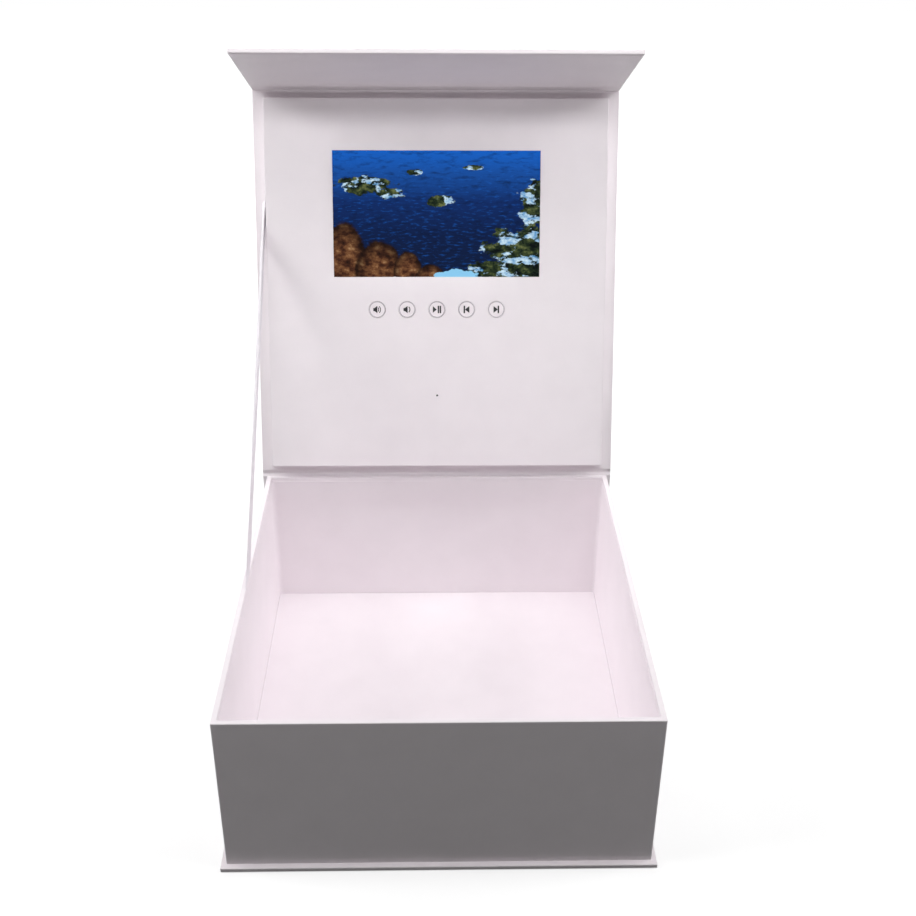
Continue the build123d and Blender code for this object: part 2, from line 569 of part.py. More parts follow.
with BuildPart() as backlight:
    low_level = FLEX_LEVEL + 2 * FLEX_T
    slab(LID, low_level, FRAME_TOP - LCD_WALL - GLASS_DEPTH - low_level, LCD_W - 4 * LCD_WALL,
         LCD_LOW + 2 * LCD_WALL, LCD_HIGH - 2 * LCD_WALL)
keep(backlight, "backlight")

# The flex leaves the display, dips under the button strip and rises to its connector.
with BuildPart() as lcd_flex:
    course = [
        (LCD_LOW + LCD_SIDE, FLEX_LEVEL),
        (LCD_LOW - POCKET_FIT, FLEX_LEVEL),
        (BUTTON_BOARD_HIGH + POCKET_FIT, FLEX_LOW_LEVEL),
        (MAIN_HIGH + FLEX_RAMP, FLEX_LOW_LEVEL),
        (MAIN_HIGH + POCKET_FIT, PCB_TOP),
        (FLEX_END, PCB_TOP),
    ]
    under = [section(LID, along, level) for along, level in course]
    over = [section(LID, along, level + FLEX_T) for along, level in reversed(course)]
    strip(under + over, FLEX_W)
keep(lcd_flex, "lcd_flex")

# ---------------------------------------------------------------- player board
with BuildPart() as main_board:
    slab(LID, BOARD_LEVEL, PCB_T, MAIN_W, MAIN_LOW, MAIN_HIGH)
    fillet(main_board.edges().filter_by(UPRIGHT), BOARD_RADIUS)
keep(main_board, "main_board")

with BuildPart() as main_chips:
    slab(LID, PCB_TOP, CHIP_T, PROCESSOR_SIDE, MAIN_UP - PROCESSOR_SIDE / 2, MAIN_UP + PROCESSOR_SIDE / 2)
    slab(LID, PCB_TOP, CHIP_T, MEMORY_W, MAIN_UP - MEMORY_H / 2, MAIN_UP + MEMORY_H / 2, middle=-CHIP_SPACING)
    slab(LID, PCB_TOP, CHIP_T, REGULATOR_SIDE, MAIN_UP - REGULATOR_SIDE / 2, MAIN_UP + REGULATOR_SIDE / 2,
         middle=CHIP_SPACING)
keep(main_chips, "main_chips")

with BuildPart() as flex_connector:
    slab(LID, PCB_TOP + FLEX_T, CONNECTOR_T, CONNECTOR_W, FLEX_END - CONNECTOR_H, MAIN_HIGH)
    slab(LID, PCB_TOP, FLEX_T, CONNECTOR_W, FLEX_END - CONNECTOR_H, FLEX_END)
keep(flex_connector, "flex_connector")

with BuildPart() as light_sensor:
    slab(LID, PCB_TOP, SENSOR_T, SENSOR_SIDE, PINHOLE_UP - SENSOR_SIDE / 2, PINHOLE_UP + SENSOR_SIDE / 2)
keep(light_sensor, "light_sensor")

# ---------------------------------------------------------------- buttons
with BuildPart() as button_board:
    slab(LID, BOARD_LEVEL, PCB_T, BUTTON_BOARD_W, BUTTON_BOARD_LOW, BUTTON_BOARD_HIGH)
keep(button_board, "button_board")

with BuildPart() as tact_switches:
    for x in BUTTON_XS:
        slab(LID, PCB_TOP, SWITCH_TOP - PCB_TOP, SWITCH_SIDE, BUTTON_UP - SWITCH_SIDE / 2,
             BUTTON_UP + SWITCH_SIDE / 2, middle=x)
    disc(LID, SWITCH_TOP, SWITCH_DOME_H, SWITCH_DOME_D, BUTTON_PLACES)
keep(tact_switches, "tact_switches")

BUTTON_NAMES = ["button_volume_up", "button_volume_down", "button_play_pause", "button_previous", "button_next"]
for name, place in zip(BUTTON_NAMES, BUTTON_PLACES):
    with BuildPart() as button:
        disc(LID, FLANGE_TOP, FACE_LEVEL - FLANGE_TOP, BUTTON_D, [place])
        disc(LID, FLANGE_LOW, BUTTON_FLANGE_T, BUTTON_D + 2 * BUTTON_FLANGE, [place])
        disc(LID, STEM_LOW, STEM_L, STEM_D, [place])
    keep(button, name)

# ---------------------------------------------------------------- battery
with BuildPart() as battery:
    slab(LID, BOARD_LEVEL, BATTERY_T, BATTERY_W, BATTERY_LOW, BATTERY_HIGH, middle=BATTERY_X)
    fillet(battery.edges().filter_by(UPRIGHT), BATTERY_RADIUS)
keep(battery, "battery")


def lead(points, radius):
    """One round lead along a flat route between the boards."""
    with BuildLine(LID.offset(LEAD_LEVEL)) as route:
        FilletPolyline(*points, radius=radius)
    with BuildSketch(Plane(origin=route.line @ 0, z_dir=route.line % 0)) as ring:
        Circle(LEAD_D / 2)
    sweep(ring.sketch, path=route.line)


def jogged_leads(start_x, end_x, up):
    """A pair of leads that lies in its channel and steps across it once, in the easiest arcs."""
    run = (end_x - start_x) / 3
    turn = atan2(LEAD_JOG, run)
    radius = ARC_SHARE * min(run, hypot(run, LEAD_JOG)) / tan(turn / 2)
    for side in LEAD_SIDES:
        high = up + side + LEAD_JOG / 2
        low = high - LEAD_JOG
        lead([(start_x, high), (start_x + run, high), (end_x - run, low), (end_x, low)], radius)


with BuildPart() as battery_leads:
    jogged_leads(BATTERY_X + BATTERY_W / 2, -MAIN_W / 2, MAIN_UP)
keep(battery_leads, "battery_leads")

# ---------------------------------------------------------------- speaker
with BuildPart() as speaker_magnet:
    disc(LID, SPEAKER_LOW, SPEAKER_MAGNET_T, SPEAKER_MAGNET_D, SPEAKER_PLACE)
keep(speaker_magnet, "speaker_magnet")

# A shallow cup, open to the front for the cone
with BuildPart() as speaker_basket:
    disc(LID, PLATE_LOW, FRAME_TOP - PLATE_LOW, SPEAKER_D, SPEAKER_PLACE)
    disc(LID, CONE_LOW, FRAME_TOP - CONE_LOW, SPEAKER_D - 2 * SPEAKER_RIM, SPEAKER_PLACE, Mode.SUBTRACT)
keep(speaker_basket, "speaker_basket")

with BuildPart() as speaker_cone:
    with BuildSketch(LID.offset(CONE_LOW)) as back:
        with Locations(*SPEAKER_PLACE):
            Circle(CONE_BACK_D / 2)
    with BuildSketch(LID.offset(CONE_HIGH)) as mouth:
        with Locations(*SPEAKER_PLACE):
            Circle(SPEAKER_D / 2 - SPEAKER_RIM)
    loft([back.sketch.face(), mouth.sketch.face()])
keep(speaker_cone, "speaker_cone")

with BuildPart() as speaker_leads:
    jogged_leads(MAIN_W / 2, SPEAKER_X - SPEAKER_D / 2, SPEAKER_UP)
keep(speaker_leads, "speaker_leads")

# ---------------------------------------------------------------- charging socket
SOCKET_X = USB_MOUTH_X - USB_L / 2

with BuildPart() as usb_board:
    slab(LID, BOARD_LEVEL, PCB_T, USB_BOARD_W, USB_UP - USB_BOARD_H / 2, USB_UP + USB_BOARD_H / 2,
         middle=USB_BOARD_X)
keep(usb_board, "usb_board")

with BuildPart() as usb_port:
    slab(LID, PCB_TOP, USB_H, USB_L, USB_UP - USB_W / 2, USB_UP + USB_W / 2, middle=SOCKET_X)
    slab(LID, PCB_TOP + USB_WALL, USB_H - 2 * USB_WALL, USB_L - USB_WALL, USB_UP - USB_W / 2 + USB_WALL,
         USB_UP + USB_W / 2 - USB_WALL, Mode.SUBTRACT, SOCKET_X + USB_WALL / 2)
    slab(LID, PCB_TOP + (USB_H - USB_TONGUE_T) / 2, USB_TONGUE_T, USB_L - USB_SETBACK, USB_UP - USB_W / 4,
         USB_UP + USB_W / 4, middle=SOCKET_X - USB_SETBACK / 2)
keep(usb_port, "usb_port")

with BuildPart() as usb_leads:
    for side in LEAD_SIDES:
        along, up = (side, USB_UP + side)
        lead([(USB_BOARD_LEFT, up), (along, up), (along, MAIN_LOW)], USB_TURN)
keep(usb_leads, "usb_leads")

# ---------------------------------------------------------------- foam tape under the boards and the battery
with BuildPart() as mounting_tapes:
    inset = TAPE_INSET
    for side in (-1, 1):
        slab(LID, CASE_T, BOARD_FLOOR, TAPE_PAD_W, MAIN_LOW + inset, MAIN_HIGH - inset,
             middle=side * (MAIN_W / 2 - inset - TAPE_PAD_W / 2))
        slab(LID, CASE_T, BOARD_FLOOR, TAPE_PAD_W, BUTTON_BOARD_LOW + inset, BUTTON_BOARD_HIGH - inset,
             middle=side * (BUTTON_BOARD_W / 2 - inset - TAPE_PAD_W / 2))
    slab(LID, CASE_T, BOARD_FLOOR, BATTERY_W - 2 * inset, BATTERY_LOW + inset, BATTERY_HIGH - inset,
         middle=BATTERY_X)
    slab(LID, CASE_T, BOARD_FLOOR, USB_BOARD_W - 2 * inset, USB_UP - USB_BOARD_H / 2 + inset,
         USB_UP + USB_BOARD_H / 2 - inset, middle=USB_BOARD_X)
keep(mounting_tapes, "mounting_tapes")

# ---------------------------------------------------------------- flap
FLAP_LOW = HINGE_GAP

with BuildPart() as flap_board:
    case_board(FLAP, FLAP_LOW, FLAP_LENGTH, folded_high=True)
    disc(FLAP, PAPER + CASE_BOARD - MAGNET_T, MAGNET_T, MAGNET_D, MAGNET_PLACES, Mode.SUBTRACT)
keep(flap_board, "flap_board")

with BuildPart() as flap_magnets:
    disc(FLAP, PAPER + CASE_BOARD - MAGNET_T, MAGNET_T, MAGNET_D, MAGNET_PLACES)
keep(flap_magnets, "flap_magnets")

with BuildPart() as flap_wrap:
    case_wrap(FLAP, FLAP_LOW, FLAP_LENGTH, folded_high=True)
keep(flap_wrap, "flap_wrap")

with BuildPart() as flap_lining:
    case_lining(FLAP, FLAP_LOW, FLAP_LENGTH, folded_high=True)
keep(flap_lining, "flap_lining")

# The papers across the flap's joint: a round outer corner, and a short strip in the inner corner.
fold_point = (FOLD.Y, FOLD.Z)
corner = (OUT_OF_LID + OUT_OF_FLAP).normalized() * -1


def round_corner(radius):
    """Side view of the outer paper at one depth: straight, round the fold's axis, and straight."""
    level = HALF_T - radius
    middle = (FOLD.Y + corner.Y * radius, FOLD.Z + corner.Z * radius)
    straight = Line(section(LID, LID_HIGH, level), section(LID, LID_LENGTH, level))
    turn = ThreePointArc(straight @ 1, middle, section(FLAP, 0, level))
    return straight, turn, Line(turn @ 1, section(FLAP, FLAP_LOW, level))


with BuildPart() as flap_hinge_paper:
    with BuildSketch(Plane.YZ.offset(-CASE_W / 2)):
        with BuildLine():
            outside = round_corner(HALF_T)
            inside = round_corner(HALF_T - PAPER)
            Line(outside[0] @ 0, inside[0] @ 0)
            Line(outside[2] @ 1, inside[2] @ 1)
        make_face()
    extrude(amount=CASE_W)
keep(flap_hinge_paper, "flap_hinge_paper")

with BuildPart() as flap_hinge_lining:
    strip([section(LID, LID_HIGH, CASE_T), section(FLAP, FLAP_LOW, CASE_T),
           section(FLAP, FLAP_LOW, CASE_WRAPPED), section(LID, LID_HIGH, CASE_WRAPPED)], LINING_W)
keep(flap_hinge_lining, "flap_hinge_lining")

# ---------------------------------------------------------------- joints, for the record
print("lid hinge", HINGE.Y, HINGE.Z, "flap fold", FOLD.Y, FOLD.Z)
print("lid range", 0, OPEN_ANGLE, "flap range", -(90 - SPLAY), SPLAY)
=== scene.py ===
"""Looks of the white video gift box: papers, screen, buttons, ribbon and materials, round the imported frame.

Sizes are in millimetres unless they say otherwise, and the meshes are in metres, in the frame's own axes:
+X to the right, +Y to the back and +Z up.
"""

import json
import logging
import math
from collections.abc import Callable, Iterable
from dataclasses import dataclass, field
from enum import Enum, StrEnum
from functools import cached_property

import bmesh
import bpy
from mathutils import Matrix, Vector, noise


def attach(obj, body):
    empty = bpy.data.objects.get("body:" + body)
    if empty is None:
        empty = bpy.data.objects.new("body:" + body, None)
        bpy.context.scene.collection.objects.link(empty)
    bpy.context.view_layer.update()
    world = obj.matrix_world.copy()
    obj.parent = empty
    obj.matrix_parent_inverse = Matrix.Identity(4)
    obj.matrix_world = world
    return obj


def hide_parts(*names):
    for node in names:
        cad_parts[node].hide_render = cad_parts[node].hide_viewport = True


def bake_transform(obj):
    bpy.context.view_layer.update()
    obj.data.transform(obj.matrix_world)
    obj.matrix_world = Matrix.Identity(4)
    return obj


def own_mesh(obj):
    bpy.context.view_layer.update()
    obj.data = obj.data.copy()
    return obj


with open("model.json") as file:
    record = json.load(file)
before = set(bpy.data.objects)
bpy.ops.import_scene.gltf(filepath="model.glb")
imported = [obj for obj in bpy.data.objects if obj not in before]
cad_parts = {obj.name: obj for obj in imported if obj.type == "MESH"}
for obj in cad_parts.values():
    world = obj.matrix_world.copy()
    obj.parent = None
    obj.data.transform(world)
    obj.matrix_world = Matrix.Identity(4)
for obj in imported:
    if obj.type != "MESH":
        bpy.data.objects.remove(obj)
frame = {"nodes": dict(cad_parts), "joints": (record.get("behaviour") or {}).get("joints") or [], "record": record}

log = logging.getLogger("video_box")
MM = 0.001
RIGHT = Vector((1, 0, 0))
X, Y, Z = range(3)
NEAR = 0.01  # points within this count as one
MERGE = 1e-4  # points this close are joined, and a cut this close to a point goes through it
STEP = 12.0  # widest spacing of the points of a flat paper
STRAY_LENGTH = 80.0  # length of the slow waves in which glued paper strays from flat
STRAY_SEED = 1  # picks the waves, so that they are the same each time
MARGIN_STEP = 1.2  # width over which a lining rises onto a turned-in margin
HOLD = 0.6  # flat strip beside a rounded edge, so that its shading stays beside the edge
SHARP = 1.0  # least angle of a right-angled edge, in radians
CREASE = 50.0  # a bend over this stays a hard edge in a finished paper, in degrees
ONE_BAR = 1.0 / math.pi  # scale at which a wave pattern has one bar to a unit
ANY = (-math.inf, math.inf)
WHITE = (1.0, 1.0, 1.0, 1.0)
COLOURS = {"out": 2, "data_type": "RGBA"}  # for a mix of colours, which are its inputs 6 and 7

Pair = tuple[float, float]
Triple = tuple[float, float, float]
Piece = bpy.types.Object
Socket = bpy.types.NodeSocket
Tree = bpy.types.NodeTree
Mesh = bmesh.types.BMesh
Vert = bmesh.types.BMVert
Line = bmesh.types.BMEdge
Face = bmesh.types.BMFace


class Body(StrEnum):
    """The rigid bodies that pieces ride on."""

    TRAY = "tray"
    LID = "lid"
    FLAP = "flap"


class Edge(Enum):
    """How one end of a wrapped board is finished."""

    OPEN = 0
    FOLDED = 1


# ---------------------------------------------------------------- materials
def linear(code: str) -> tuple[float, float, float, float]:
    """Turns an sRGB hex colour such as "#F4EEF2" into linear light, with an alpha of 1."""
    parts = (int(code[i:i + 2], 16) / 255 for i in (1, 3, 5))
    return (*(c / 12.92 if c <= 0.04045 else ((c + 0.055) / 1.055) ** 2.4 for c in parts), 1.0)


def emptied(holder: bpy.types.Material | bpy.types.World) -> Tree:
    """Clears the nodes of a new material or world.

    Args:
        holder: the material or world.

    Returns:
        Its node tree.
    """
    holder.use_nodes = True
    holder.node_tree.nodes.clear()
    return holder.node_tree


def add(tree: Tree, kind: str, inputs: dict | None = None, out: int | str = 0, **settings) -> Socket | None:
    """Adds a node with its settings and links.

    Args:
        tree: node tree of the material or world.
        kind: node type, without its "ShaderNode" prefix.
        inputs: values, hex colours or sockets, by input name or number.
        out: name or number of the output to hand on.
        **settings: attributes of the node.

    Returns:
        The output, or None for a node without outputs.
    """
    made = tree.nodes.new("ShaderNode" + kind)
    for name, value in settings.items():
        setattr(made, name, value)
    for name, value in (inputs or {}).items():
        if isinstance(value, Socket):
            tree.links.new(value, made.inputs[name])
        else:
            made.inputs[name].default_value = linear(value) if isinstance(value, str) else value
    return made.outputs[out] if made.outputs else None


@dataclass(frozen=True)
class Finish:
    """A surface, by what it is made of and how it was made.

    Its colour wanders between two tones over patches, and its grain gives a fine relief.
    """

    name: str
    slot: str
    light: str
    dark: str
    roughness: Pair
    patch: float = 15.0
    contrast: Pair = (0.3, 0.7)
    grain: float = 0.6
    relief: float = 0.01
    stretch: Triple = (1.0, 1.0, 1.0)
    metallic: float = 0.0
    ior: float = 1.5
    stray: float = 0.0  # how far a piece strays from flat
    shader: dict = field(default_factory=dict)  # further inputs of the shader

    @cached_property
    def tree(self) -> Tree:
        """The material's node tree, which starts empty."""
        return emptied(bpy.data.materials.new(self.name))

    @cached_property
    def material(self) -> bpy.types.Material:
        """The material, made the first time that it is asked for."""
        add(self.tree, "OutputMaterial", {0: self.surface()})
        return bpy.data.materials[self.name]

    def spot(self, size: float, stretch: Iterable[float] = (1, 1, 1)) -> Socket:
        """Object coordinates in units of a real size, which are shorter along an axis by its stretch."""
        scale = [s / (size * MM) for s in stretch]
        return add(self.tree, "Mapping", {"Vector": add(self.tree, "TexCoord", out="Object"), "Scale": scale})

    def laid(self, scale: Triple, start: Triple = (0.0, 0.0, 0.0)) -> Socket:
        """The coordinates laid on the mesh, scaled and moved."""
        flat = add(self.tree, "UVMap")
        return add(self.tree, "Mapping", {"Vector": flat, "Scale": scale, "Location": start})

    def cloud(self, size: float, stretch: Iterable[float] = (1, 1, 1), detail: float = 3.0,
              ends: Pair = (0.3, 0.7)) -> Socket:
        """Smooth noise in patches of a real size. Its values between two ends are spread over 0 to 1."""
        inputs = {"Vector": self.spot(size, stretch), "Scale": 1.0, "Detail": detail}
        return add(self.tree, "MapRange", {0: add(self.tree, "TexNoise", inputs), 1: ends[0], 2: ends[1]})

    def rough(self, size: float) -> Socket:
        """Roughness that wanders between its two ends, over patches of a real size."""
        low, high = self.roughness
        return add(self.tree, "MapRange", {0: self.cloud(size), 3: low, 4: high})

    def colour(self) -> Socket:
        """The wandering colour."""
        share = self.cloud(self.patch, ends=self.contrast)
        return add(self.tree, "Mix", {0: share, 6: self.dark, 7: self.light}, **COLOURS)

    def height(self) -> Socket:
        """The grain's height, from 0 to 1."""
        return self.cloud(self.grain, self.stretch, detail=2.0)

    def surface(self) -> Socket:
        """Puts the colour, the roughness and the relief together.

        Returns:
            The shader.
        """
        relief = {"Height": self.height(), "Strength": 1.0, "Distance": self.relief * MM}
        bump = add(self.tree, "Bump", relief)
        inputs = {"Base Color": self.colour(), "Roughness": self.rough(self.patch / 2), "Normal": bump,
                  "Metallic": self.metallic, "IOR": self.ior, **self.shader}
        return add(self.tree, "BsdfPrincipled", inputs)


@dataclass(frozen=True)
class GluedPaper(Finish):
    """Matt laminated art paper glued over board, which cockles and strays a little as the glue dries."""

    stray: float = 0.06
    cockle: float = 26.0
    cockle_relief: float = 0.02

    def height(self) -> Socket:
        """Fibre relief, with the slow waves of the glued sheet under it.

        Returns:
            The height.
        """
        wave = self.cloud(self.cockle, (1, 1, 0.6), detail=1.0, ends=(0.0, 1.0))
        both = {0: wave, 1: self.cockle_relief / self.relief, 2: super().height()}
        return add(self.tree, "Math", both, operation="MULTIPLY_ADD")


@dataclass(frozen=True)
class PulpBoard(Finish):
    """Board pressed from waste paper: a grey felt of fibres with dark specks."""

    speck: str = "#4E4A46"
    speck_size: float = 0.9

    def colour(self) -> Socket:
        """Grey patches with dark specks, which are flatter than wide."""
        specks = self.cloud(self.speck_size, (1.0, 1.0, 1.6), ends=(0.66, 0.72))
        return add(self.tree, "Mix", {0: specks, 6: super().colour(), 7: self.speck}, **COLOURS)


@dataclass(frozen=True)
class FlutedCard(Finish):
    """Corrugated card cut through, so that its edges show the flutes as dark and light bars: the light bars are
    the fluting paper, the dark bars painted shade in the hollow flutes.
    """

    flute: float = 3.2

    def colour(self) -> Socket:
        """Brown kraft with darker bars at the flutes' spacing, which are painted shade in the hollow flutes.

        Returns:
            The colour.
        """
        where = self.spot(self.flute, (1.0, 0.15, 0.15))
        # the dark bars are painted shade in the hollow flutes between the fluting paper
        bars = add(self.tree, "TexWave", {"Vector": where, "Scale": ONE_BAR, "Distortion": 0.6}, 1)
        faint = add(self.tree, "MapRange", {0: bars, 3: 0.55, 4: 1.0})
        return add(self.tree, "Mix", {0: faint, 6: self.dark, 7: super().colour()}, **COLOURS)


@dataclass(frozen=True)
class Ribbon(Finish):
    """Single-face satin ribbon: fine cross ribs with a soft sheen along the weft."""

    rib: float = 0.5

    def height(self) -> Socket:
        """Cross ribs, drawn at 0.5 mm where real ones are half that, so that they show."""
        along = self.laid((1.0, 1.0 / (self.rib * MM), 1.0))
        return add(self.tree, "TexWave", {"Vector": along, "Scale": ONE_BAR}, 1, bands_direction="Y")


@dataclass(frozen=True)
class FoamCell(Finish):
    """Closed-cell foam tape: small round pits."""

    def height(self) -> Socket:
        """Round cells of the grain's size."""
        return add(self.tree, "TexVoronoi", {"Vector": self.spot(self.grain), "Scale": 1.0}, "Distance")


@dataclass(frozen=True)
class CircuitBoard(Finish):
    """Glass-fibre laminate under green solder mask, with copper tracks that show through as lighter lines."""

    track: str = "#2F7A4C"
    pad: str = "#C9C4AE"
    pitch: float = 2.6

    def colour(self) -> Socket:
        """Mask green, lighter over the tracks, with small tinned pads.

        Returns:
            The colour.
        """
        grid = {"Vector": self.spot(self.pitch), "Scale": 1.0}
        lines = {"Mortar Size": 0.08, "Mortar Smooth": 0.2, "Brick Width": 1.7, "Row Height": 0.5}
        tracks = add(self.tree, "TexBrick", grid | lines, 1)
        masked = add(self.tree, "Mix", {0: tracks, 6: super().colour(), 7: self.track}, **COLOURS)
        dots = add(self.tree, "TexVoronoi", grid, "Distance")
        pads = add(self.tree, "MapRange", {0: dots, 1: 0.16, 2: 0.12})
        return add(self.tree, "Mix", {0: pads, 6: masked, 7: self.pad}, **COLOURS)


@dataclass(frozen=True)
class ScreenPicture(Finish):
    """Lit display behind coated glass, with a made-up winter coast: rippled sea, snowy skerries, boulders.

    Each oval is given by its middle and its half width and height, all in picture widths.
    """

    glow: float = 0.95
    body: float = 0.05  # share of the picture that the unlit face shows
    skerries: tuple[tuple[float, ...], ...] = (
        (0.92, 0.1, 0.17, 0.14), (0.76, 0.02, 0.12, 0.07), (0.98, 0.34, 0.08, 0.1), (0.15, 0.44, 0.12, 0.04),
        (0.27, 0.4, 0.07, 0.025), (0.52, 0.36, 0.07, 0.028), (0.4, 0.5, 0.04, 0.014),
        (0.68, 0.52, 0.05, 0.012))
    boulders: tuple[tuple[float, ...], ...] = (
        (0.05, 0.06, 0.11, 0.2), (0.22, 0.0, 0.12, 0.17), (0.36, 0.02, 0.07, 0.1), (0.47, -0.02, 0.08, 0.08))
    floe: tuple[float, ...] = (0.60, 0.005, 0.10, 0.030)

    def noise(self, scale: Pair, detail: float, ends: Pair) -> Socket:
        """Noise from 0 to 1, by its patches in one picture width, sideways and upwards."""
        inputs = {"Vector": self.laid((*scale, 1.0)), "Scale": 1.0, "Detail": detail, "Roughness": 0.62}
        return add(self.tree, "MapRange", {0: add(self.tree, "TexNoise", inputs), 1: ends[0], 2: ends[1]})

    def reach(self, x: float, y: float, wide: float, high: float) -> Socket:
        """Distance from the middle of an oval, which is 1 on its edge."""
        centred = self.laid((1 / wide, 1 / high, 1.0), (-x / wide, -y / high, 0.0))
        return add(self.tree, "VectorMath", {0: centred}, "Value", operation="LENGTH")

    def inside(self, oval: tuple[float, ...], rag: float) -> Socket:
        """1 inside an oval with a ragged edge, and 0 outside.

        Args:
            oval: the oval.
            rag: how far its edge wanders, as a share of its size.

        Returns:
            The mask.
        """
        coast = self.noise((13.0, 19.0), 6.0, (0.3, 0.7))
        edge = {0: coast, 1: 2 * rag, 2: self.reach(*oval)}
        edge = add(self.tree, "Math", edge, operation="MULTIPLY_ADD")
        return add(self.tree, "MapRange", {0: edge, 1: 1.05 + rag, 2: 0.95 + rag})

    def ramp(self, share: Socket, *stops: tuple[float, str]) -> Socket:
        """Colours along a scale.

        Args:
            share: place on the scale.
            *stops: places and colours, the lowest and the highest first.

        Returns:
            The colour.
        """
        made = add(self.tree, "ValToRGB", {0: share})
        band = made.node.color_ramp
        for i, (at, code) in enumerate(stops):
            stop = band.elements[i] if i < 2 else band.elements.new(at)
            stop.position, stop.color = at, linear(code)
        return made

    def sea(self) -> Socket:
        """Blue water, lighter in the distance, with flat ripples that grow towards the eye.

        Returns:
            The colour.
        """
        up = add(self.tree, "SeparateXYZ", {0: add(self.tree, "UVMap")}, Y)
        water = self.ramp(up, (0.0, "#0D1C3C"), (0.60, "#1560C4"), (0.20, "#0C1E46"), (0.36, "#0F2C66"),
                          (0.50, "#174E9F"))
        crests = self.noise((26.0, 100.0), 4.0, (0.54, 0.86))
        water = add(self.tree, "Mix", {0: crests, 6: water, 7: "#1C62C4"}, **COLOURS)
        troughs = self.noise((15.0, 52.0), 5.0, (0.50, 0.16))
        return add(self.tree, "Mix", {0: troughs, 6: water, 7: "#07142F"}, **COLOURS)

    def skerry(self) -> Socket:
        """Dark rock and olive scrub under patches of snow.

        Returns:
            The colour.
        """
        rock = self.ramp(self.noise((22.0, 30.0), 5.0, (0.32, 0.68)),
                         (0.15, "#080F10"), (0.95, "#6B7145"), (0.45, "#1D2A1C"), (0.70, "#3F4A2C"))
        snow = self.ramp(self.noise((30.0, 44.0), 4.0, (0.35, 0.65)), (0.0, "#4F8FC4"), (1.0, "#D5EEFA"))
        patches = self.noise((10.0, 19.0), 4.0, (0.54, 0.58))
        return add(self.tree, "Mix", {0: patches, 6: rock, 7: snow}, **COLOURS)

    def boulder(self) -> Socket:
        """Brown stone in broad patches."""
        return self.ramp(self.noise((17.0, 23.0), 6.0, (0.3, 0.7)),
                         (0.1, "#1E110C"), (0.95, "#B08860"), (0.38, "#4A2A1C"), (0.66, "#7A5134"))

    def colour(self) -> Socket:
        """The picture, from the far water to the near rocks.

        Returns:
            The colour.
        """
        picture, skerry, boulder = self.sea(), self.skerry(), self.boulder()
        for oval in self.skerries:
            picture = add(self.tree, "Mix", {0: self.inside(oval, 0.45), 6: picture, 7: skerry}, **COLOURS)
        for oval in self.boulders:
            shade = add(self.tree, "MapRange", {0: self.reach(*oval), 1: 0.45, 2: 1.05})
            turned = add(self.tree, "Mix", {0: shade, 6: boulder, 7: "#150B09"}, **COLOURS)
            picture = add(self.tree, "Mix", {0: self.inside(oval, 0.08), 6: picture, 7: turned}, **COLOURS)
        ice = self.inside(self.floe, 0.3)
        return add(self.tree, "Mix", {0: ice, 6: picture, 7: "#8CCBF0"}, **COLOURS)

    def surface(self) -> Socket:
        """A dark glossy face that also gives off the picture's own light.

        Returns:
            The shader.
        """
        picture = self.colour()
        face = add(self.tree, "Mix", {0: self.body, 6: "#000000", 7: picture}, **COLOURS)
        inputs = {"Base Color": face, "Roughness": self.rough(self.patch), "IOR": self.ior,
                  "Emission Color": picture, "Emission Strength": self.glow, **self.shader}
        return add(self.tree, "BsdfPrincipled", inputs)


# Matt laminated art paper: near white with a faint pink cast, no gloss, slow waves where the glue dried.
PAPER = GluedPaper("laminated_art_paper", "white_paper", "#F8F1F5", "#F5EEF2", (0.48, 0.56), patch=24.0,
                   grain=1.2, relief=0.006)
# Greyboard, pressed from waste paper: grey felt with specks.
GREYBOARD = PulpBoard("pressed_greyboard", "greyboard", "#A39E97", "#8A857E", (0.85, 0.95), patch=7.0,
                      grain=0.7, relief=0.05)
# Corrugated kraft card, die cut: brown, with the flutes on its cut sides, where the hollow flutes get painted
# shade.
CARD = FlutedCard("die_cut_corrugated_card", "corrugated_card", "#B89468", "#8F6D45", (0.8, 0.92), patch=9.0,
                  grain=0.8, relief=0.05)
# Speaker cone, moulded from black paper pulp: soft dark fibres.
CONE = PulpBoard("moulded_cone_paper", "cone_paper", "#232324", "#171718", (0.8, 0.9), patch=3.0, grain=0.5,
                 relief=0.03, speck="#33302E")
# Polyester satin ribbon, woven: white with a silky sheen.
RIBBON = Ribbon("woven_satin_ribbon", "white_ribbon", "#F6F1F6", "#EDE8EE", (0.38, 0.5), patch=6.0,
                relief=0.02, shader={"Sheen Weight": 0.35, "Sheen Roughness": 0.4})
# Zinc-plated steel disc, stamped: pale blue-grey with cloudy bloom.
ZINC = Finish("zinc_plated_steel", "zinc_steel", "#C4C9CE", "#9DA4AB", (0.28, 0.42), patch=4.0, grain=0.4,
              relief=0.005, metallic=1.0)
# Stainless sheet, rolled: fine lines along the rolling direction.
SHEET_STEEL = Finish("rolled_stainless_sheet", "display_steel", "#BDBEBF", "#A4A5A7", (0.24, 0.36), patch=9.0,
                     grain=0.35, relief=0.004, stretch=(0.04, 1.0, 1.0), metallic=1.0)
# Socket shell, drawn and tin plated: bright and slightly soft.
SOCKET_STEEL = Finish("tin_plated_steel", "socket_steel", "#D2D3D4", "#B7B8BA", (0.16, 0.26), patch=2.0,
                      grain=0.3, relief=0.003, metallic=1.0)
# Nickel-plated magnet, barrel plated: mirror bright with light scuffs.
NICKEL = Finish("nickel_plated_magnet", "magnet_nickel", "#CFC9BF", "#B5AFA6", (0.1, 0.22), patch=3.0,
                grain=0.3, relief=0.003, metallic=1.0)
# Display under cover glass with an anti-reflective coat: a lit picture, with only a faint gloss over it.
SCREEN = ScreenPicture("lit_display_glass", "display_glass", "#FFFFFF", "#000000", (0.07, 0.14), patch=30.0,
                       shader={"Specular IOR Level": 0.04})
# Backlight, moulded from white polycarbonate: smooth and milky.
BACKLIGHT = Finish("moulded_polycarbonate", "backlight_plastic", "#F1F1F2", "#E6E7E9", (0.3, 0.4), patch=10.0,
                   grain=0.8, relief=0.004, ior=1.58)
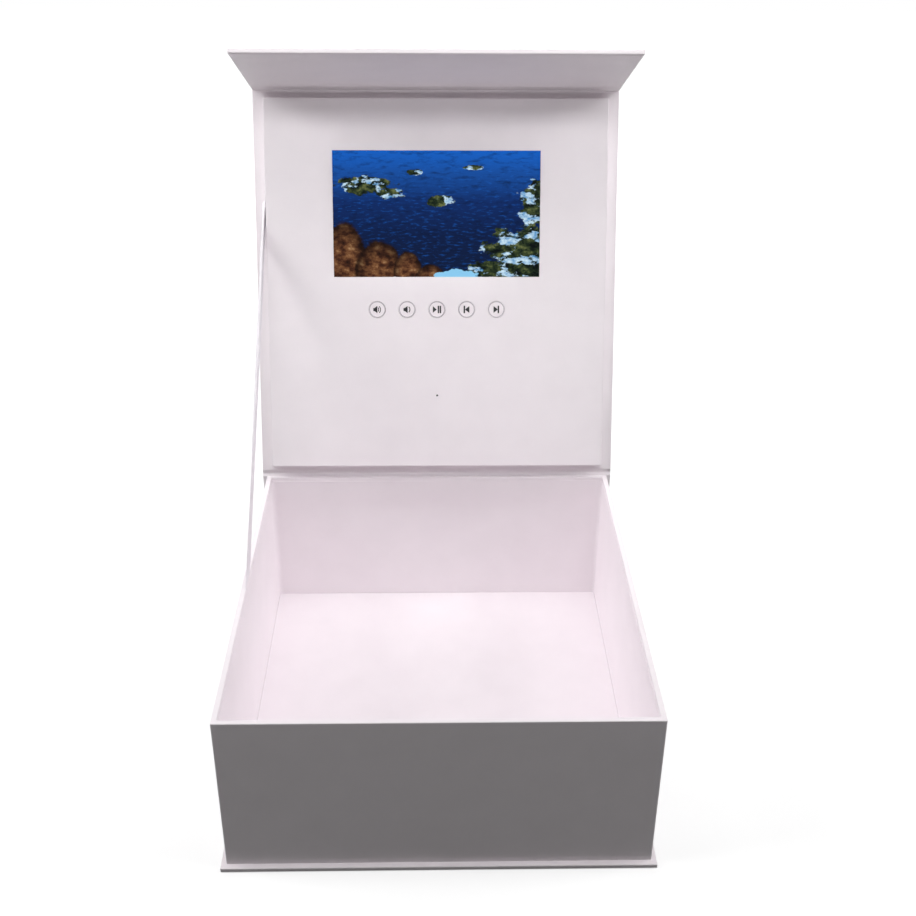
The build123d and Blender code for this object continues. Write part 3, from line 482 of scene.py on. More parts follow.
# Polyimide film with copper under it, laminated: glassy amber.
AMBER_FILM = Finish("laminated_polyimide_film", "amber_film", "#C98A2B", "#A8681B", (0.14, 0.24), patch=3.0,
                    grain=0.5, relief=0.006, ior=1.7, stretch=(1.0, 0.05, 0.05))
# Circuit board: green solder mask over tracks, screen coated.
LAMINATE = CircuitBoard("solder_masked_laminate", "green_laminate", "#1E6A3A", "#195C32", (0.3, 0.42),
                        patch=6.0, grain=0.5)
# Chip packages, moulded from filled epoxy: black, with a fine sandy surface.
EPOXY = Finish("moulded_black_epoxy", "black_epoxy", "#232325", "#1A1A1C", (0.5, 0.62), patch=2.0, grain=0.15,
               ior=1.55)
# Battery pouch, cold-formed aluminium laminate: dull silver with soft creases.
POUCH = Finish("cold_formed_pouch_foil", "battery_foil", "#C5C7CA", "#A9ABAF", (0.3, 0.45), patch=8.0,
               grain=6.0, relief=0.12, metallic=1.0)
# Lead insulation, extruded PVC: red and a little waxy.
RED_PVC = Finish("extruded_red_pvc", "lead_red", "#B3201C", "#9A1815", (0.34, 0.46), patch=3.0, grain=0.3,
                 relief=0.004, ior=1.53)
# Foam tape, die cut: white closed-cell foam.
FOAM = FoamCell("die_cut_foam_tape", "foam_tape", "#ECECEA", "#DEDEDC", (0.8, 0.9), patch=4.0, grain=0.4,
                relief=0.06)
# Button caps, injection-moulded ABS: white with a fine spark-eroded texture.
ABS = Finish("moulded_white_abs", "button_plastic", "#FAF3F7", "#F5EDF1", (0.34, 0.44), patch=5.0, grain=0.25,
             relief=0.006, ior=1.54)
# Pad-printed ink: black, slightly raised and silky.
INK = Finish("pad_printed_black_ink", "button_plastic", "#151317", "#0F0E12", (0.42, 0.55), patch=1.0,
             grain=0.2, relief=0.004)
# Grey ring at the cap's edge: painted shade of the narrow gap between the cap and its hole, laid on like the ink.
GAP_SHADE = Finish("painted_gap_shade_grey", "button_plastic", "#B4AAB5", "#A89EA9", (0.42, 0.55), patch=1.0,
                  grain=0.2, relief=0.004)
FINISHES = {f.slot: f for f in (PAPER, GREYBOARD, CARD, CONE, RIBBON, ZINC, SHEET_STEEL, SOCKET_STEEL, NICKEL,
                                SCREEN, BACKLIGHT, AMBER_FILM, LAMINATE, EPOXY, POUCH, RED_PVC, FOAM, ABS)}


# ---------------------------------------------------------------- mesh tools
def only(kind: type, geom: Iterable) -> list:
    """The parts of one kind, such as the points among what was just extruded."""
    return [part for part in geom if isinstance(part, kind)]


def lines_of(verts: Iterable[Vert]) -> list[Line]:
    """The edges that meet at some points, each once."""
    return list(dict.fromkeys(line for vert in verts for line in vert.link_edges))


def within(point: Vector, *spans: Pair) -> bool:
    """Tells whether a point lies between the ends given for X, Y and Z."""
    return all(low < value < high for value, (low, high) in zip(point, spans))


def between(line: Line, *spans: Pair) -> bool:
    """Tells whether both ends of an edge lie between the ends given for X, Y and Z."""
    return all(within(vert.co, *spans) for vert in line.verts)


def about(value: float, reach: float = NEAR) -> Pair:
    """The two ends round a value."""
    return value - reach, value + reach


def block(low: Iterable[float], high: Iterable[float]) -> Mesh:
    """A new mesh that holds one box.

    Args:
        low: its lowest corner.
        high: its highest corner.

    Returns:
        The mesh.
    """
    low, high = Vector(low), Vector(high)
    made = bmesh.new()
    size = Matrix.Diagonal((*(high - low), 1.0))
    bmesh.ops.create_cube(made, size=1.0, matrix=Matrix.Translation((low + high) / 2) @ size)
    return made


def plate(low: Pair, high: Pair, level: float, columns: int = 1, rows: int = 1) -> Mesh:
    """A new mesh that holds one rectangle, facing +Z.

    Args:
        low: its lowest corner.
        high: its highest corner.
        level: its height.
        columns: faces along X.
        rows: faces along Y.

    Returns:
        The mesh.
    """
    low, high = Vector((*low, level)), Vector((*high, level))
    made = bmesh.new()
    size = Matrix.Diagonal((high.x - low.x, high.y - low.y, 1.0, 1.0))
    bmesh.ops.create_grid(made, x_segments=columns, y_segments=rows, size=0.5,
                          matrix=Matrix.Translation((low + high) / 2) @ size)
    return made


def slice_at(bm: Mesh, axis: int, places: Iterable[float]) -> None:
    """Cuts the whole mesh square to an axis, and keeps both halves.

    Args:
        bm: the mesh.
        axis: the axis.
        places: where it is cut.
    """
    across = Vector([float(i == axis) for i in range(3)])
    for place in places:
        bmesh.ops.bisect_plane(bm, geom=bm.verts[:] + bm.edges[:] + bm.faces[:], dist=MERGE,
                               plane_co=across * place, plane_no=across)


def spaced(low: float, high: float) -> list[float]:
    """Evenly spaced places between two ends, which are left out."""
    count = max(1, math.ceil((high - low) / STEP))
    return [low + (high - low) * i / count for i in range(1, count)]


def bands(*spans: Pair) -> list[float]:
    """Places at both ends of each band, and evenly spaced in it."""
    return [place for low, high in spans for place in (low, *spaced(low, high), high)]


def drop_faces(bm: Mesh, test: Callable[[Vector, Vector], bool]) -> None:
    """Deletes faces.

    Args:
        bm: the mesh.
        test: picks the faces by their centre and their normal.
    """
    bm.normal_update()
    gone = [f for f in bm.faces if test(f.calc_center_median(), f.normal)]
    bmesh.ops.delete(bm, geom=gone, context="FACES")


def soften(bm: Mesh, radius: float, test: Callable[[Line], bool] | None = None, segments: int = 4) -> None:
    """Rounds edges between faces.

    Args:
        bm: the mesh.
        radius: how round they get.
        test: picks the edges, or else all are rounded.
        segments: faces round each edge.
    """
    chosen = [e for e in bm.edges if len(e.link_faces) == 2 and (test is None or test(e))]
    bmesh.ops.bevel(bm, geom=chosen, offset=radius, segments=segments, profile=0.5, affect="EDGES",
                    material=-1, clamp_overlap=True)


def upright(line: Line) -> bool:
    """Tells whether an edge runs along Z."""
    way = line.verts[1].co - line.verts[0].co
    return abs(way.z) > 0.99 * way.length


def lay(bm: Mesh, name: str, where: Callable[[Vector], Pair]) -> None:
    """Lays flat coordinates on a mesh.

    Args:
        bm: the mesh.
        name: name of the coordinates.
        where: turns a point into its coordinates.
    """
    layer = bm.loops.layers.uv.new(name)
    for corner in (corner for face in bm.faces for corner in face.loops):
        corner[layer].uv = where(corner.vert.co)


def link(name: str, data: bpy.types.ID) -> Piece:
    """Puts a new object into the scene.

    Args:
        name: its name.
        data: its mesh, lamp or camera.

    Returns:
        The object.
    """
    made = bpy.data.objects.new(name, data)
    bpy.context.collection.objects.link(made)
    return made


def settle(bm: Mesh, name: str, material: bpy.types.Material) -> Piece:
    """Turns a mesh in metres into an object.

    Args:
        bm: the mesh, which is freed.
        name: name of the object.
        material: its material.

    Returns:
        The object.
    """
    mesh = bpy.data.meshes.new(name)
    bm.to_mesh(mesh)
    bm.free()
    mesh.materials.append(material)
    return link(name, mesh)


def publish(bm: Mesh, name: str, finish: Finish, body: str = "", node: str = "", place: Matrix | None = None,
            thickness: float = 0.0) -> Piece:
    """Turns a mesh in millimetres into a finished piece at its place, and reports it.

    Args:
        bm: the mesh, which is freed.
        name: name of the piece.
        finish: its surface.
        body: the body that it rides on, if it is one alone.
        node: the node that it stands in for.
        place: matrix from the mesh's millimetres to the frame's metres.
        thickness: wall that the surface gets, behind its faces.

    Returns:
        The piece.
    """
    bmesh.ops.transform(bm, matrix=place or Matrix.Scale(MM, 4), verts=bm.verts)
    if finish.stray:
        for vert in bm.verts:
            vert.co += noise.noise_vector(vert.co / (STRAY_LENGTH * MM)) * (finish.stray * MM)
    bmesh.ops.remove_doubles(bm, verts=bm.verts, dist=MERGE * MM)
    piece = settle(bm, name, finish.material)
    piece.data.shade_smooth()
    if thickness:
        wall = piece.modifiers.new("paper", "SOLIDIFY")
        wall.thickness, wall.offset, wall.use_even_offset = thickness * MM, -1.0, True
        solid = bpy.data.meshes.new_from_object(piece.evaluated_get(bpy.context.evaluated_depsgraph_get()))
        piece.modifiers.clear()
        piece.data = solid
        solid.name = name
        solid.set_sharp_from_angle(angle=math.radians(CREASE))
    if body:
        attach(piece, str(body))
    if node:
        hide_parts(node)
    log.info("%s in %s, on %s", name, finish.name, body or "two bodies")
    return piece


# ---------------------------------------------------------------- case
@dataclass(frozen=True)
class BoardPlane:
    """Where a case board lies: X to the right, Y along it from its fold, Z inwards from its outer face."""

    origin: Vector
    inwards: Vector

    @property
    def along(self) -> Vector:
        """Direction of the board from its fold."""
        return self.inwards.cross(RIGHT)

    @property
    def matrix(self) -> Matrix:
        """Matrix from the plane's millimetres to the frame's metres."""
        turn = Matrix((RIGHT, self.along, self.inwards)).transposed().to_4x4()
        return Matrix.Scale(MM, 4) @ Matrix.Translation(self.origin) @ turn

    def at(self, along: float, level: float, across: float = 0.0) -> Vector:
        """A point of the plane, in the frame's millimetres."""
        return self.origin + RIGHT * across + self.along * along + self.inwards * level


@dataclass(frozen=True)
class Shape:
    """Sizes that the pieces share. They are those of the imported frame."""

    paper: float = 0.25
    wrapped: float = 3.0  # thickness of a board with its outer paper and margins
    lined: float = 3.25  # the same with its inner paper
    case_w: float = 268.5
    tray_w: float = 262.0
    tray_d: float = 282.0
    tray_z: float = 3.0  # the tray's underside
    rim_z: float = 115.0
    spine_top: float = 114.5
    lip_front: float = -144.85  # the base's front edge
    turn_in: float = 15.0  # width of the margins
    lining_inset: float = 2.0  # from a board's sides to its inner paper
    hinge_gap: float = 2.5  # from a joint's axis to the next board's own papers
    flap_length: float = 110.0
    lean: float = 19.0  # of the lid, in degrees
    splay: float = 5.5  # of the flap, past square to the lid, in degrees
    face_level: float = 12.25  # the panel's face, above the lid's outer face
    joints: dict[str, Vector] = field(default_factory=lambda: {
        joint["child"]: Vector(joint["pos_m"]) / MM for joint in frame["joints"] if "pos_m" in joint})

    @property
    def back_y(self) -> float:
        """The tray's outer back face."""
        return self.tray_d / 2

    @property
    def lid_length(self) -> float:
        """From the lid's axis to the flap's."""
        return (self.joints[Body.FLAP] - self.joints[Body.LID]).length

    @property
    def inner(self) -> float:
        """Half the width between the margins that are turned in at a board's sides."""
        return self.case_w / 2 - self.turn_in

    @property
    def base(self) -> BoardPlane:
        """The base board's plane."""
        return BoardPlane(Vector(), Vector((0, 0, 1)))

    @property
    def spine(self) -> BoardPlane:
        """The spine board's plane."""
        return BoardPlane(Vector((0, self.back_y + self.wrapped, 0)), Vector((0, -1, 0)))

    @property
    def lid(self) -> BoardPlane:
        """The lid board's plane."""
        lean = math.radians(self.lean)
        return self.hung(Body.LID, Vector((0, -math.cos(lean), math.sin(lean))))

    @property
    def flap(self) -> BoardPlane:
        """The flap board's plane."""
        splay = math.radians(self.splay)
        return self.hung(Body.FLAP, self.lid.inwards * math.sin(splay) - self.lid.along * math.cos(splay))

    def hung(self, body: Body, inwards: Vector) -> BoardPlane:
        """The plane of a board whose axis is in the middle of its thickness."""
        return BoardPlane(self.joints[body] - inwards * self.lined / 2, inwards)


SHAPE = Shape()


@dataclass
class WrappedBoard:
    """Paper folded round a case board: outer face, rounded folds, and margins turned in on the inner face."""

    low: float
    high: float
    low_edge: Edge = Edge.OPEN
    high_edge: Edge = Edge.OPEN
    radius: float = 0.55

    def build(self) -> Mesh:
        """Makes the paper, in the board's plane.

        Returns:
            The mesh.
        """
        half, top, near = SHAPE.case_w / 2, SHAPE.wrapped, self.radius + HOLD
        bm = block((-half, self.low, 0), (half, self.high, top))
        cuts, ends = [], []
        for side, edge, place in ((-1, self.low_edge, self.low), (1, self.high_edge, self.high)):
            ends.append(place - side * SHAPE.turn_in * edge.value)
            if edge is Edge.OPEN:
                drop_faces(bm, lambda centre, normal: normal.y * side > 0.5)
            else:
                cuts += [place - side * near, ends[-1]]
        soften(bm, self.radius)
        slice_at(bm, X, bands(about(0, SHAPE.inner)) + [near - half, half - near])
        slice_at(bm, Y, cuts + spaced(*ends))
        slice_at(bm, Z, [near, top - near])
        drop_faces(bm, lambda centre, normal: normal.z > 0.5
                   and within(centre, about(0, SHAPE.inner), ends, (top - NEAR, math.inf)))
        return bm


@dataclass
class Lining:
    """Inner paper of a case board, which shows the turned-in margins under it as a faint step."""

    low: float
    high: float
    margin: float = 0.0  # width of the turned-in margin under its high end
    level: float = SHAPE.lined
    drop: float = SHAPE.paper  # how much lower it lies between the margins

    def build(self) -> Mesh:
        """Makes the sheet, in the board's plane.

        Returns:
            The mesh.
        """
        half, end = SHAPE.case_w / 2 - SHAPE.lining_inset, self.high - self.margin
        bm = plate((-half, self.low), (half, self.high), self.level)
        slice_at(bm, X, bands(about(0, SHAPE.inner)) + list(about(0, SHAPE.inner + MARGIN_STEP)))
        slice_at(bm, Y, bands((self.low, end)) + [end + MARGIN_STEP])
        for vert in bm.verts:
            if within(vert.co, about(0, SHAPE.inner + NEAR), (-math.inf, end + NEAR)):
                vert.co.z -= self.drop
        return bm


@dataclass
class Fold:
    """Papers that bend between two boards, round the axis of their joint."""

    name: str
    bodies: tuple[Body, Body]
    first: BoardPlane
    second: BoardPlane
    first_end: float  # where the first board's own papers end
    first_axis: float  # where the joint's axis is along the first board
    first_level: float  # the inner paper's level on the first board
    groove: float = 1.3  # depth of the dip between the boards
    straight: int = 2  # steps of the outer paper along each board
    turn: int = 6  # steps of the outer paper round the axis

    def outside(self) -> list[Vector]:
        """The outer paper's path round the joint.

        Returns:
            Its points, in the frame's millimetres.
        """
        run, axis = self.first_axis - self.first_end, SHAPE.joints[self.bodies[1]]
        shares = [i / self.straight for i in range(self.straight + 1)]
        before = [self.first.at(self.first_end + run * share, 0) for share in shares]
        after = [self.second.at(SHAPE.hinge_gap * share, 0) for share in shares]
        a, b = before[-1] - axis, after[0] - axis
        return before + [axis + a.slerp(b, i / self.turn) for i in range(1, self.turn)] + after

    def inside(self, down: float, count: int) -> list[Vector]:
        """The inner paper's path, which dips into the groove between the boards.

        Args:
            down: how far it is below the linings' faces.
            count: how many steps it has.

        Returns:
            Its points, in the frame's millimetres.
        """
        a = self.first.at(self.first_end, self.first_level - down)
        b = self.second.at(SHAPE.hinge_gap, SHAPE.lined - down)
        dip = (SHAPE.joints[self.bodies[1]] - (a + b) / 2).normalized() * self.groove
        return [a.lerp(b, i / count) + dip * math.sin(math.pi * i / count) ** 2 for i in range(count + 1)]

    def bent(self, bm: Mesh, kind: str, node: str, *paths: list[Vector]) -> None:
        """Bends a straight paper along two paths.

        Args:
            bm: the paper, whose Y counts the paths' points, and whose Z is 0 on one path and 1 on the other.
            kind: what it is for.
            node: kind of the node that it stands in for.
            *paths: the two paths.
        """
        slice_at(bm, Y, range(1, len(paths[0]) - 1))
        for vert in bm.verts:
            i = min(int(vert.co.y), len(paths[0]) - 2)
            low, high = (path[i].lerp(path[i + 1], vert.co.y - i) for path in paths)
            vert.co = RIGHT * vert.co.x + low.lerp(high, vert.co.z)
        piece = publish(bm, f"{self.name}_{kind}_fold", PAPER, thickness=SHAPE.paper)
        start = self.first.at(self.first_end, SHAPE.lined / 2) * MM
        end = self.second.at(SHAPE.hinge_gap, SHAPE.lined / 2) * MM
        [str(body) for body in self.bodies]
        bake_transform(piece)
        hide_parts(f"{self.bodies[1]}_hinge_{node}")

    def build(self) -> None:
        """Makes the outer and the inner paper."""
        outside = self.outside()
        count = len(outside) - 1
        behind = self.inside(SHAPE.paper, count)
        cover = WrappedBoard(0, count).build()
        bmesh.ops.scale(cover, vec=(1, 1, 1 / SHAPE.wrapped), verts=cover.verts)
        self.bent(cover, "cover", "paper", outside, behind)
        lining = Lining(0, count, level=1.0, drop=1.0).build()
        self.bent(lining, "lining", "lining", behind, self.inside(0.0, count))


@dataclass
class Case:
    """The cover: base, spine, lid and flap boards in white paper, with paper folds between them."""

    foot_steps: int = 6

    def build(self) -> None:
        """Makes the papers of the case, and lets the boards' papers ride."""
        gap, length, inset = SHAPE.hinge_gap, SHAPE.lid_length, SHAPE.lining_inset
        base = WrappedBoard(SHAPE.lip_front, SHAPE.back_y, low_edge=Edge.FOLDED)
        flap = WrappedBoard(gap, SHAPE.flap_length, high_edge=Edge.FOLDED)
        flap_lining = Lining(gap, SHAPE.flap_length - inset, SHAPE.turn_in - inset)
        for bm, name, plane, body, node in (
                (base.build(), "base_cover", SHAPE.base, Body.TRAY, "base_wrap"),
                (self.spine(), "spine_cover", SHAPE.spine, Body.TRAY, "spine_wrap"),
                (WrappedBoard(gap, length - gap).build(), "lid_cover", SHAPE.lid, Body.LID, "lid_wrap"),
                (flap.build(), "flap_cover", SHAPE.flap, Body.FLAP, "flap_wrap"),
                (Lining(gap, length - gap).build(), "lid_endpaper", SHAPE.lid, Body.LID, "lid_lining"),
                (flap_lining.build(), "flap_endpaper", SHAPE.flap, Body.FLAP, "flap_lining")):
            publish(bm, name, PAPER, body, node, plane.matrix, SHAPE.paper)
        Fold("back", (Body.TRAY, Body.LID), SHAPE.spine, SHAPE.lid, SHAPE.spine_top, SHAPE.joints[Body.LID].z,
             SHAPE.wrapped).build()
        Fold("flap", (Body.LID, Body.FLAP), SHAPE.lid, SHAPE.flap, length - gap, length, SHAPE.lined).build()

    def spine(self) -> Mesh:
        """The spine's paper, with the quarter round that leads it under the base.

        Returns:
            The mesh.
        """
        bm = WrappedBoard(SHAPE.wrapped, SHAPE.spine_top).build()
        foot = [e for e in bm.edges if between(e, ANY, about(SHAPE.wrapped))]
        bmesh.ops.spin(bm, geom=foot, cent=(0, SHAPE.wrapped, SHAPE.wrapped), axis=RIGHT, dvec=(0, 0, 0),
                       angle=-math.pi / 2, steps=self.foot_steps, use_merge=False, use_duplicate=False)
        bmesh.ops.recalc_face_normals(bm, faces=bm.faces)
        return bm


# ---------------------------------------------------------------- tray
@dataclass
class Tray:
    """The rigid tray's papers: the cover over its rim, the wall lining and the floor sheet."""

    wall: float = 3.5
    lining: float = 3.75
    rim_turn_in: float = 20.0
    lining_drop: float = 3.0
    floor_level: float = 6.75
    rim_radius: float = 0.85
    corner_radius: float = 0.9
    lining_radius: float = 3.0
    edge_strip: float = 1.2
    corner_strip: float = 4.0
    gap: float = 0.15

    def build(self) -> None:
        """Makes the papers and lets them ride."""
        for bm, name, node in ((self.cover(), "tray_cover", "tray_wrap"),
                               (self.walls(), "wall_paper", "wall_lining"),
                               (self.floor(), "floor_paper", "floor_lining")):
            publish(bm, name, PAPER, Body.TRAY, node, thickness=SHAPE.paper)

    def cover(self) -> Mesh:
        """Outer paper, over the rim and down inside.

        Returns:
            The mesh.
        """
        half_w, half_d, rim, near = SHAPE.tray_w / 2, SHAPE.tray_d / 2, SHAPE.rim_z, self.edge_strip
        bm = block((-half_w, -half_d, SHAPE.tray_z), (half_w, half_d, rim))
        top, under = ([f for f in bm.faces if f.normal.z * way > 0.5] for way in (1, -1))
        for faces, width in ((top, self.wall), (under, SHAPE.turn_in)):
            bmesh.ops.inset_region(bm, faces=faces, thickness=width, use_boundary=True, use_even_offset=True)
        bmesh.ops.delete(bm, geom=under, context="FACES")
        hem = bmesh.ops.extrude_face_region(bm, geom=top)["geom"]
        bmesh.ops.translate(bm, vec=(0, 0, -self.rim_turn_in), verts=only(Vert, hem))
        bmesh.ops.delete(bm, geom=only(Face, hem) + top, context="FACES_ONLY")
        soften(bm, self.corner_radius, upright)
        soften(bm, self.rim_radius, lambda line: not upright(line) and between(line, ANY, ANY, about(rim))
               and line.calc_face_angle(0) > SHARP)
        slice_at(bm, X, bands(about(0, half_w - near)))
        slice_at(bm, Y, bands(about(0, half_d - near)))
        slice_at(bm, Z, [SHAPE.tray_z + near, rim - near, *spaced(SHAPE.tray_z, rim)])
        return bm

    def walls(self) -> Mesh:
        """Wall lining, with soft corners, and a faint step where the rim's margin ends behind it.

        Returns:
            The mesh.
        """
        half_w, half_d = SHAPE.tray_w / 2 - self.lining, SHAPE.tray_d / 2 - self.lining
        bm = block((-half_w, -half_d, self.floor_level - SHAPE.paper),
                   (half_w, half_d, SHAPE.rim_z - self.lining_drop))
        drop_faces(bm, lambda centre, normal: abs(normal.z) > 0.5)
        soften(bm, self.lining_radius, upright, segments=6)
        bmesh.ops.reverse_faces(bm, faces=bm.faces[:])
        margin = SHAPE.rim_z - self.rim_turn_in
        end = margin - MARGIN_STEP
        slice_at(bm, X, bands(about(0, half_w - self.corner_strip)))
        slice_at(bm, Y, bands(about(0, half_d - self.corner_strip)))
        slice_at(bm, Z, [margin, end, *spaced(self.floor_level, end)])
        for vert in bm.verts:
            if vert.co.z < end + NEAR:
                vert.co.x *= (half_w + SHAPE.paper) / half_w
                vert.co.y *= (half_d + SHAPE.paper) / half_d
        return bm

    def floor(self) -> Mesh:
        """Floor sheet, cut a little short of the walls.

        Returns:
            The mesh.
        """
        short = self.lining - SHAPE.paper + self.gap
        half_w, half_d = SHAPE.tray_w / 2 - short, SHAPE.tray_d / 2 - short
        bm = plate((-half_w, -half_d), (half_w, half_d), self.floor_level)
        slice_at(bm, X, spaced(-half_w, half_w))
        slice_at(bm, Y, spaced(-half_d, half_d))
        return bm


# ---------------------------------------------------------------- screen panel
@dataclass
class Panel:
    """The raised screen panel on the lid: its paper, the display's glass and the five buttons."""

    width: float = 251.0
    low: float = 6.875
    high: float = 277.875
    screen_w: float = 152.4
    screen_h: float = 91.4
    screen_up: float = 195.4
    button_up: float = 125.7
    button_pitch: float = 22.2
    button_cell: float = 8.0  # half the side of the square round a button's hole
    hole_d: float = 12.6
    hole_sides: int = 40
    pinhole_d: float = 1.6
    pinhole_up: float = 61.0
    pinhole_cell: float = 3.0  # half the side of the square round the pinhole
    pinhole_sides: int = 16
    radius: float = 0.6
    window_radius: float = 0.3
    window_depth: float = 1.72
    hole_radius: float = 0.5
    hole_depth: float = 1.6
    hole_edge: float = 0.25
    socket_up: float = 36.0
    socket_w: float = 8.6
    socket_low: float = 4.95
    socket_high: float = 8.75
    slot_low: float = 189.8
    slot_high: float = 205.2
    slot_level: float = 3.65
    glass_margin: float = 2.5
    glass_low: float = 8.5
    glass_t: float = 1.6
    glass_radius: float = 0.2

    @property
    def button_xs(self) -> list[float]:
        """Centres of the buttons."""
        return [(i - 2) * self.button_pitch for i in range(5)]

    @property
    def window(self) -> tuple[Pair, Pair]:
        """Ends of the screen's window, across and up the panel."""
        return about(0, self.screen_w / 2), about(self.screen_up, self.screen_h / 2)

    def build(self) -> None:
        """Makes the panel's pieces and lets them ride."""
        publish(self.cover(), "panel_cover", PAPER, Body.LID, "face_paper", SHAPE.lid.matrix, SHAPE.paper)
        publish(self.glass(), "display_front", SCREEN, Body.LID, "lcd_glass", SHAPE.lid.matrix)
        for icon, x in zip(Icon, self.button_xs):
            Button(icon, x, self.button_up).build()

    def cover(self) -> Mesh:
        """White paper over the panel, turned into the window and the holes.

        Returns:
            The mesh.
        """
        half, top, cell, pin = self.width / 2, SHAPE.face_level, self.button_cell, self.pinhole_cell
        near, row = self.radius + HOLD, self.button_xs[-1] + cell
        foot, head = self.low + near, self.high - near
        bm = block((-half, self.low, SHAPE.lined), (half, self.high, top))
        drop_faces(bm, lambda centre, normal: normal.z < -0.5)
        soften(bm, self.radius)
        (left, right), (low, high) = self.window
        cells = [x + side * cell for x in self.button_xs for side in (-1, 1)]
        slice_at(bm, X, bands((near - half, left), (left, -row), (row, right), (right, half - near)))
        slice_at(bm, X, cells + [-pin, pin])
        slice_at(bm, Y, bands((foot, self.pinhole_up - pin), (self.pinhole_up + pin, self.button_up - cell)))
        slice_at(bm, Y, [self.button_up + cell] + bands((low, high), (high, head)))
        slice_at(bm, Z, [top - near])
        self.side_openings(bm, half)
        self.window_opening(bm, top)
        for x in self.button_xs:
            self.hole(bm, (x, self.button_up, top), cell, self.hole_d / 2, self.hole_sides)
        self.hole(bm, (0.0, self.pinhole_up, top), pin, self.pinhole_d / 2, self.pinhole_sides)
        return bm

    def side_openings(self, bm: Mesh, half: float) -> None:
        """Cuts the socket's opening on the right and the ribbon's slot on the left.

        Args:
            bm: the panel's paper.
            half: half the panel's width.
        """
        socket, slot = about(self.socket_up, self.socket_w / 2), (self.slot_low, self.slot_high)
        slice_at(bm, Y, socket + slot)
        slice_at(bm, Z, [self.slot_level, self.socket_low, self.socket_high])
        for spans in (((half - NEAR, math.inf), socket, (self.socket_low, self.socket_high)),
                      ((-math.inf, NEAR - half), slot, (-math.inf, self.slot_level))):
            drop_faces(bm, lambda centre, normal: within(centre, *spans))

    def window_opening(self, bm: Mesh, top: float) -> None:
        """Cuts the screen's window and turns the paper into it.

        Args:
            bm: the panel's paper.
            top: level of the panel's face.
        """
        outer, inner = ([(low - out, high + out) for low, high in self.window] for out in (NEAR, -NEAR))
        drop_faces(bm, lambda centre, normal: within(centre, *self.window, (top - NEAR, math.inf)))
        rim = [e for e in bm.edges if e.is_boundary and between(e, *outer, about(top))]
        self.turn_down(bm, rim, self.window_depth)
        soften(bm, self.window_radius, lambda line: between(line, *outer, about(top))
               and not any(within(vert.co, *inner) for vert in line.verts)
               and line.calc_face_angle(0) > SHARP, segments=3)

    def turn_down(self, bm: Mesh, rim: list[Line], depth: float) -> None:
        """Turns the paper down at the rim of an opening, by a depth."""
        made = bmesh.ops.extrude_edge_only(bm, edges=rim)["geom"]
        bmesh.ops.translate(bm, vec=(0, 0, -depth), verts=only(Vert, made))

    def hole(self, bm: Mesh, centre: Triple, cell: float, radius: float, sides: int) -> None:
        """Punches a round hole with its paper turned in.

        Args:
            bm: the panel's paper, already cut along the borders of the hole's square cell.
            centre: middle of the hole.
            cell: half the cell's side.
            radius: the hole's radius.
            sides: corners of its outline.
        """
        square = [(value - cell, value + cell) for value in centre[:2]]
        border = [(low - NEAR, high + NEAR) for low, high in square]
        drop_faces(bm, lambda middle, normal: within(middle, *square, about(centre[2])))
        outline = [e for e in bm.edges if e.is_boundary and between(e, *border, about(centre[2]))]
        wide, place = radius + self.hole_radius, Matrix.Translation(centre)
        ring = lines_of(bmesh.ops.create_circle(bm, segments=sides, radius=wide, matrix=place)["verts"])
        bmesh.ops.triangle_fill(bm, edges=outline + ring, use_beauty=True, normal=(0, 0, 1))
        made = bmesh.ops.extrude_edge_only(bm, edges=ring)["geom"]
        shrink = Matrix.Diagonal((radius / wide, radius / wide, 1.0))
        bmesh.ops.transform(bm, matrix=shrink.to_4x4(), verts=only(Vert, made),
                            space=Matrix.Translation((-centre[0], -centre[1], 0)))
        rim = [e for e in only(Line, made) if e.is_boundary]
        self.turn_down(bm, rim, self.hole_depth)
        bmesh.ops.bevel(bm, geom=rim, offset=self.hole_edge, segments=3, profile=0.5, affect="EDGES",
                        material=-1)

    def glass(self) -> Mesh:
        """The display's front, with picture coordinates in screen widths.

        Returns:
            The mesh.
        """
        (left, right), (low, high) = self.window
        margin = Vector((self.glass_margin, self.glass_margin, 0))
        corners = (Vector((left, low, self.glass_low)) - margin,
                   Vector((right, high, self.glass_low + self.glass_t)) + margin)
        bm = block(*corners)
        soften(bm, self.glass_radius, segments=2)
        for axis in (X, Y, Z):
            slice_at(bm, axis, [corners[0][axis] + HOLD, corners[1][axis] - HOLD])
        lay(bm, "picture", lambda point: ((point.x - left) / self.screen_w, (point.y - low) / self.screen_w))
        return bm


class Icon(StrEnum):
    """Printed signs of the five buttons, from left to right."""

    VOLUME_UP = "volume_up"
    VOLUME_DOWN = "volume_down"
    PLAY_PAUSE = "play_pause"
    PREVIOUS = "previous"
    NEXT = "next"


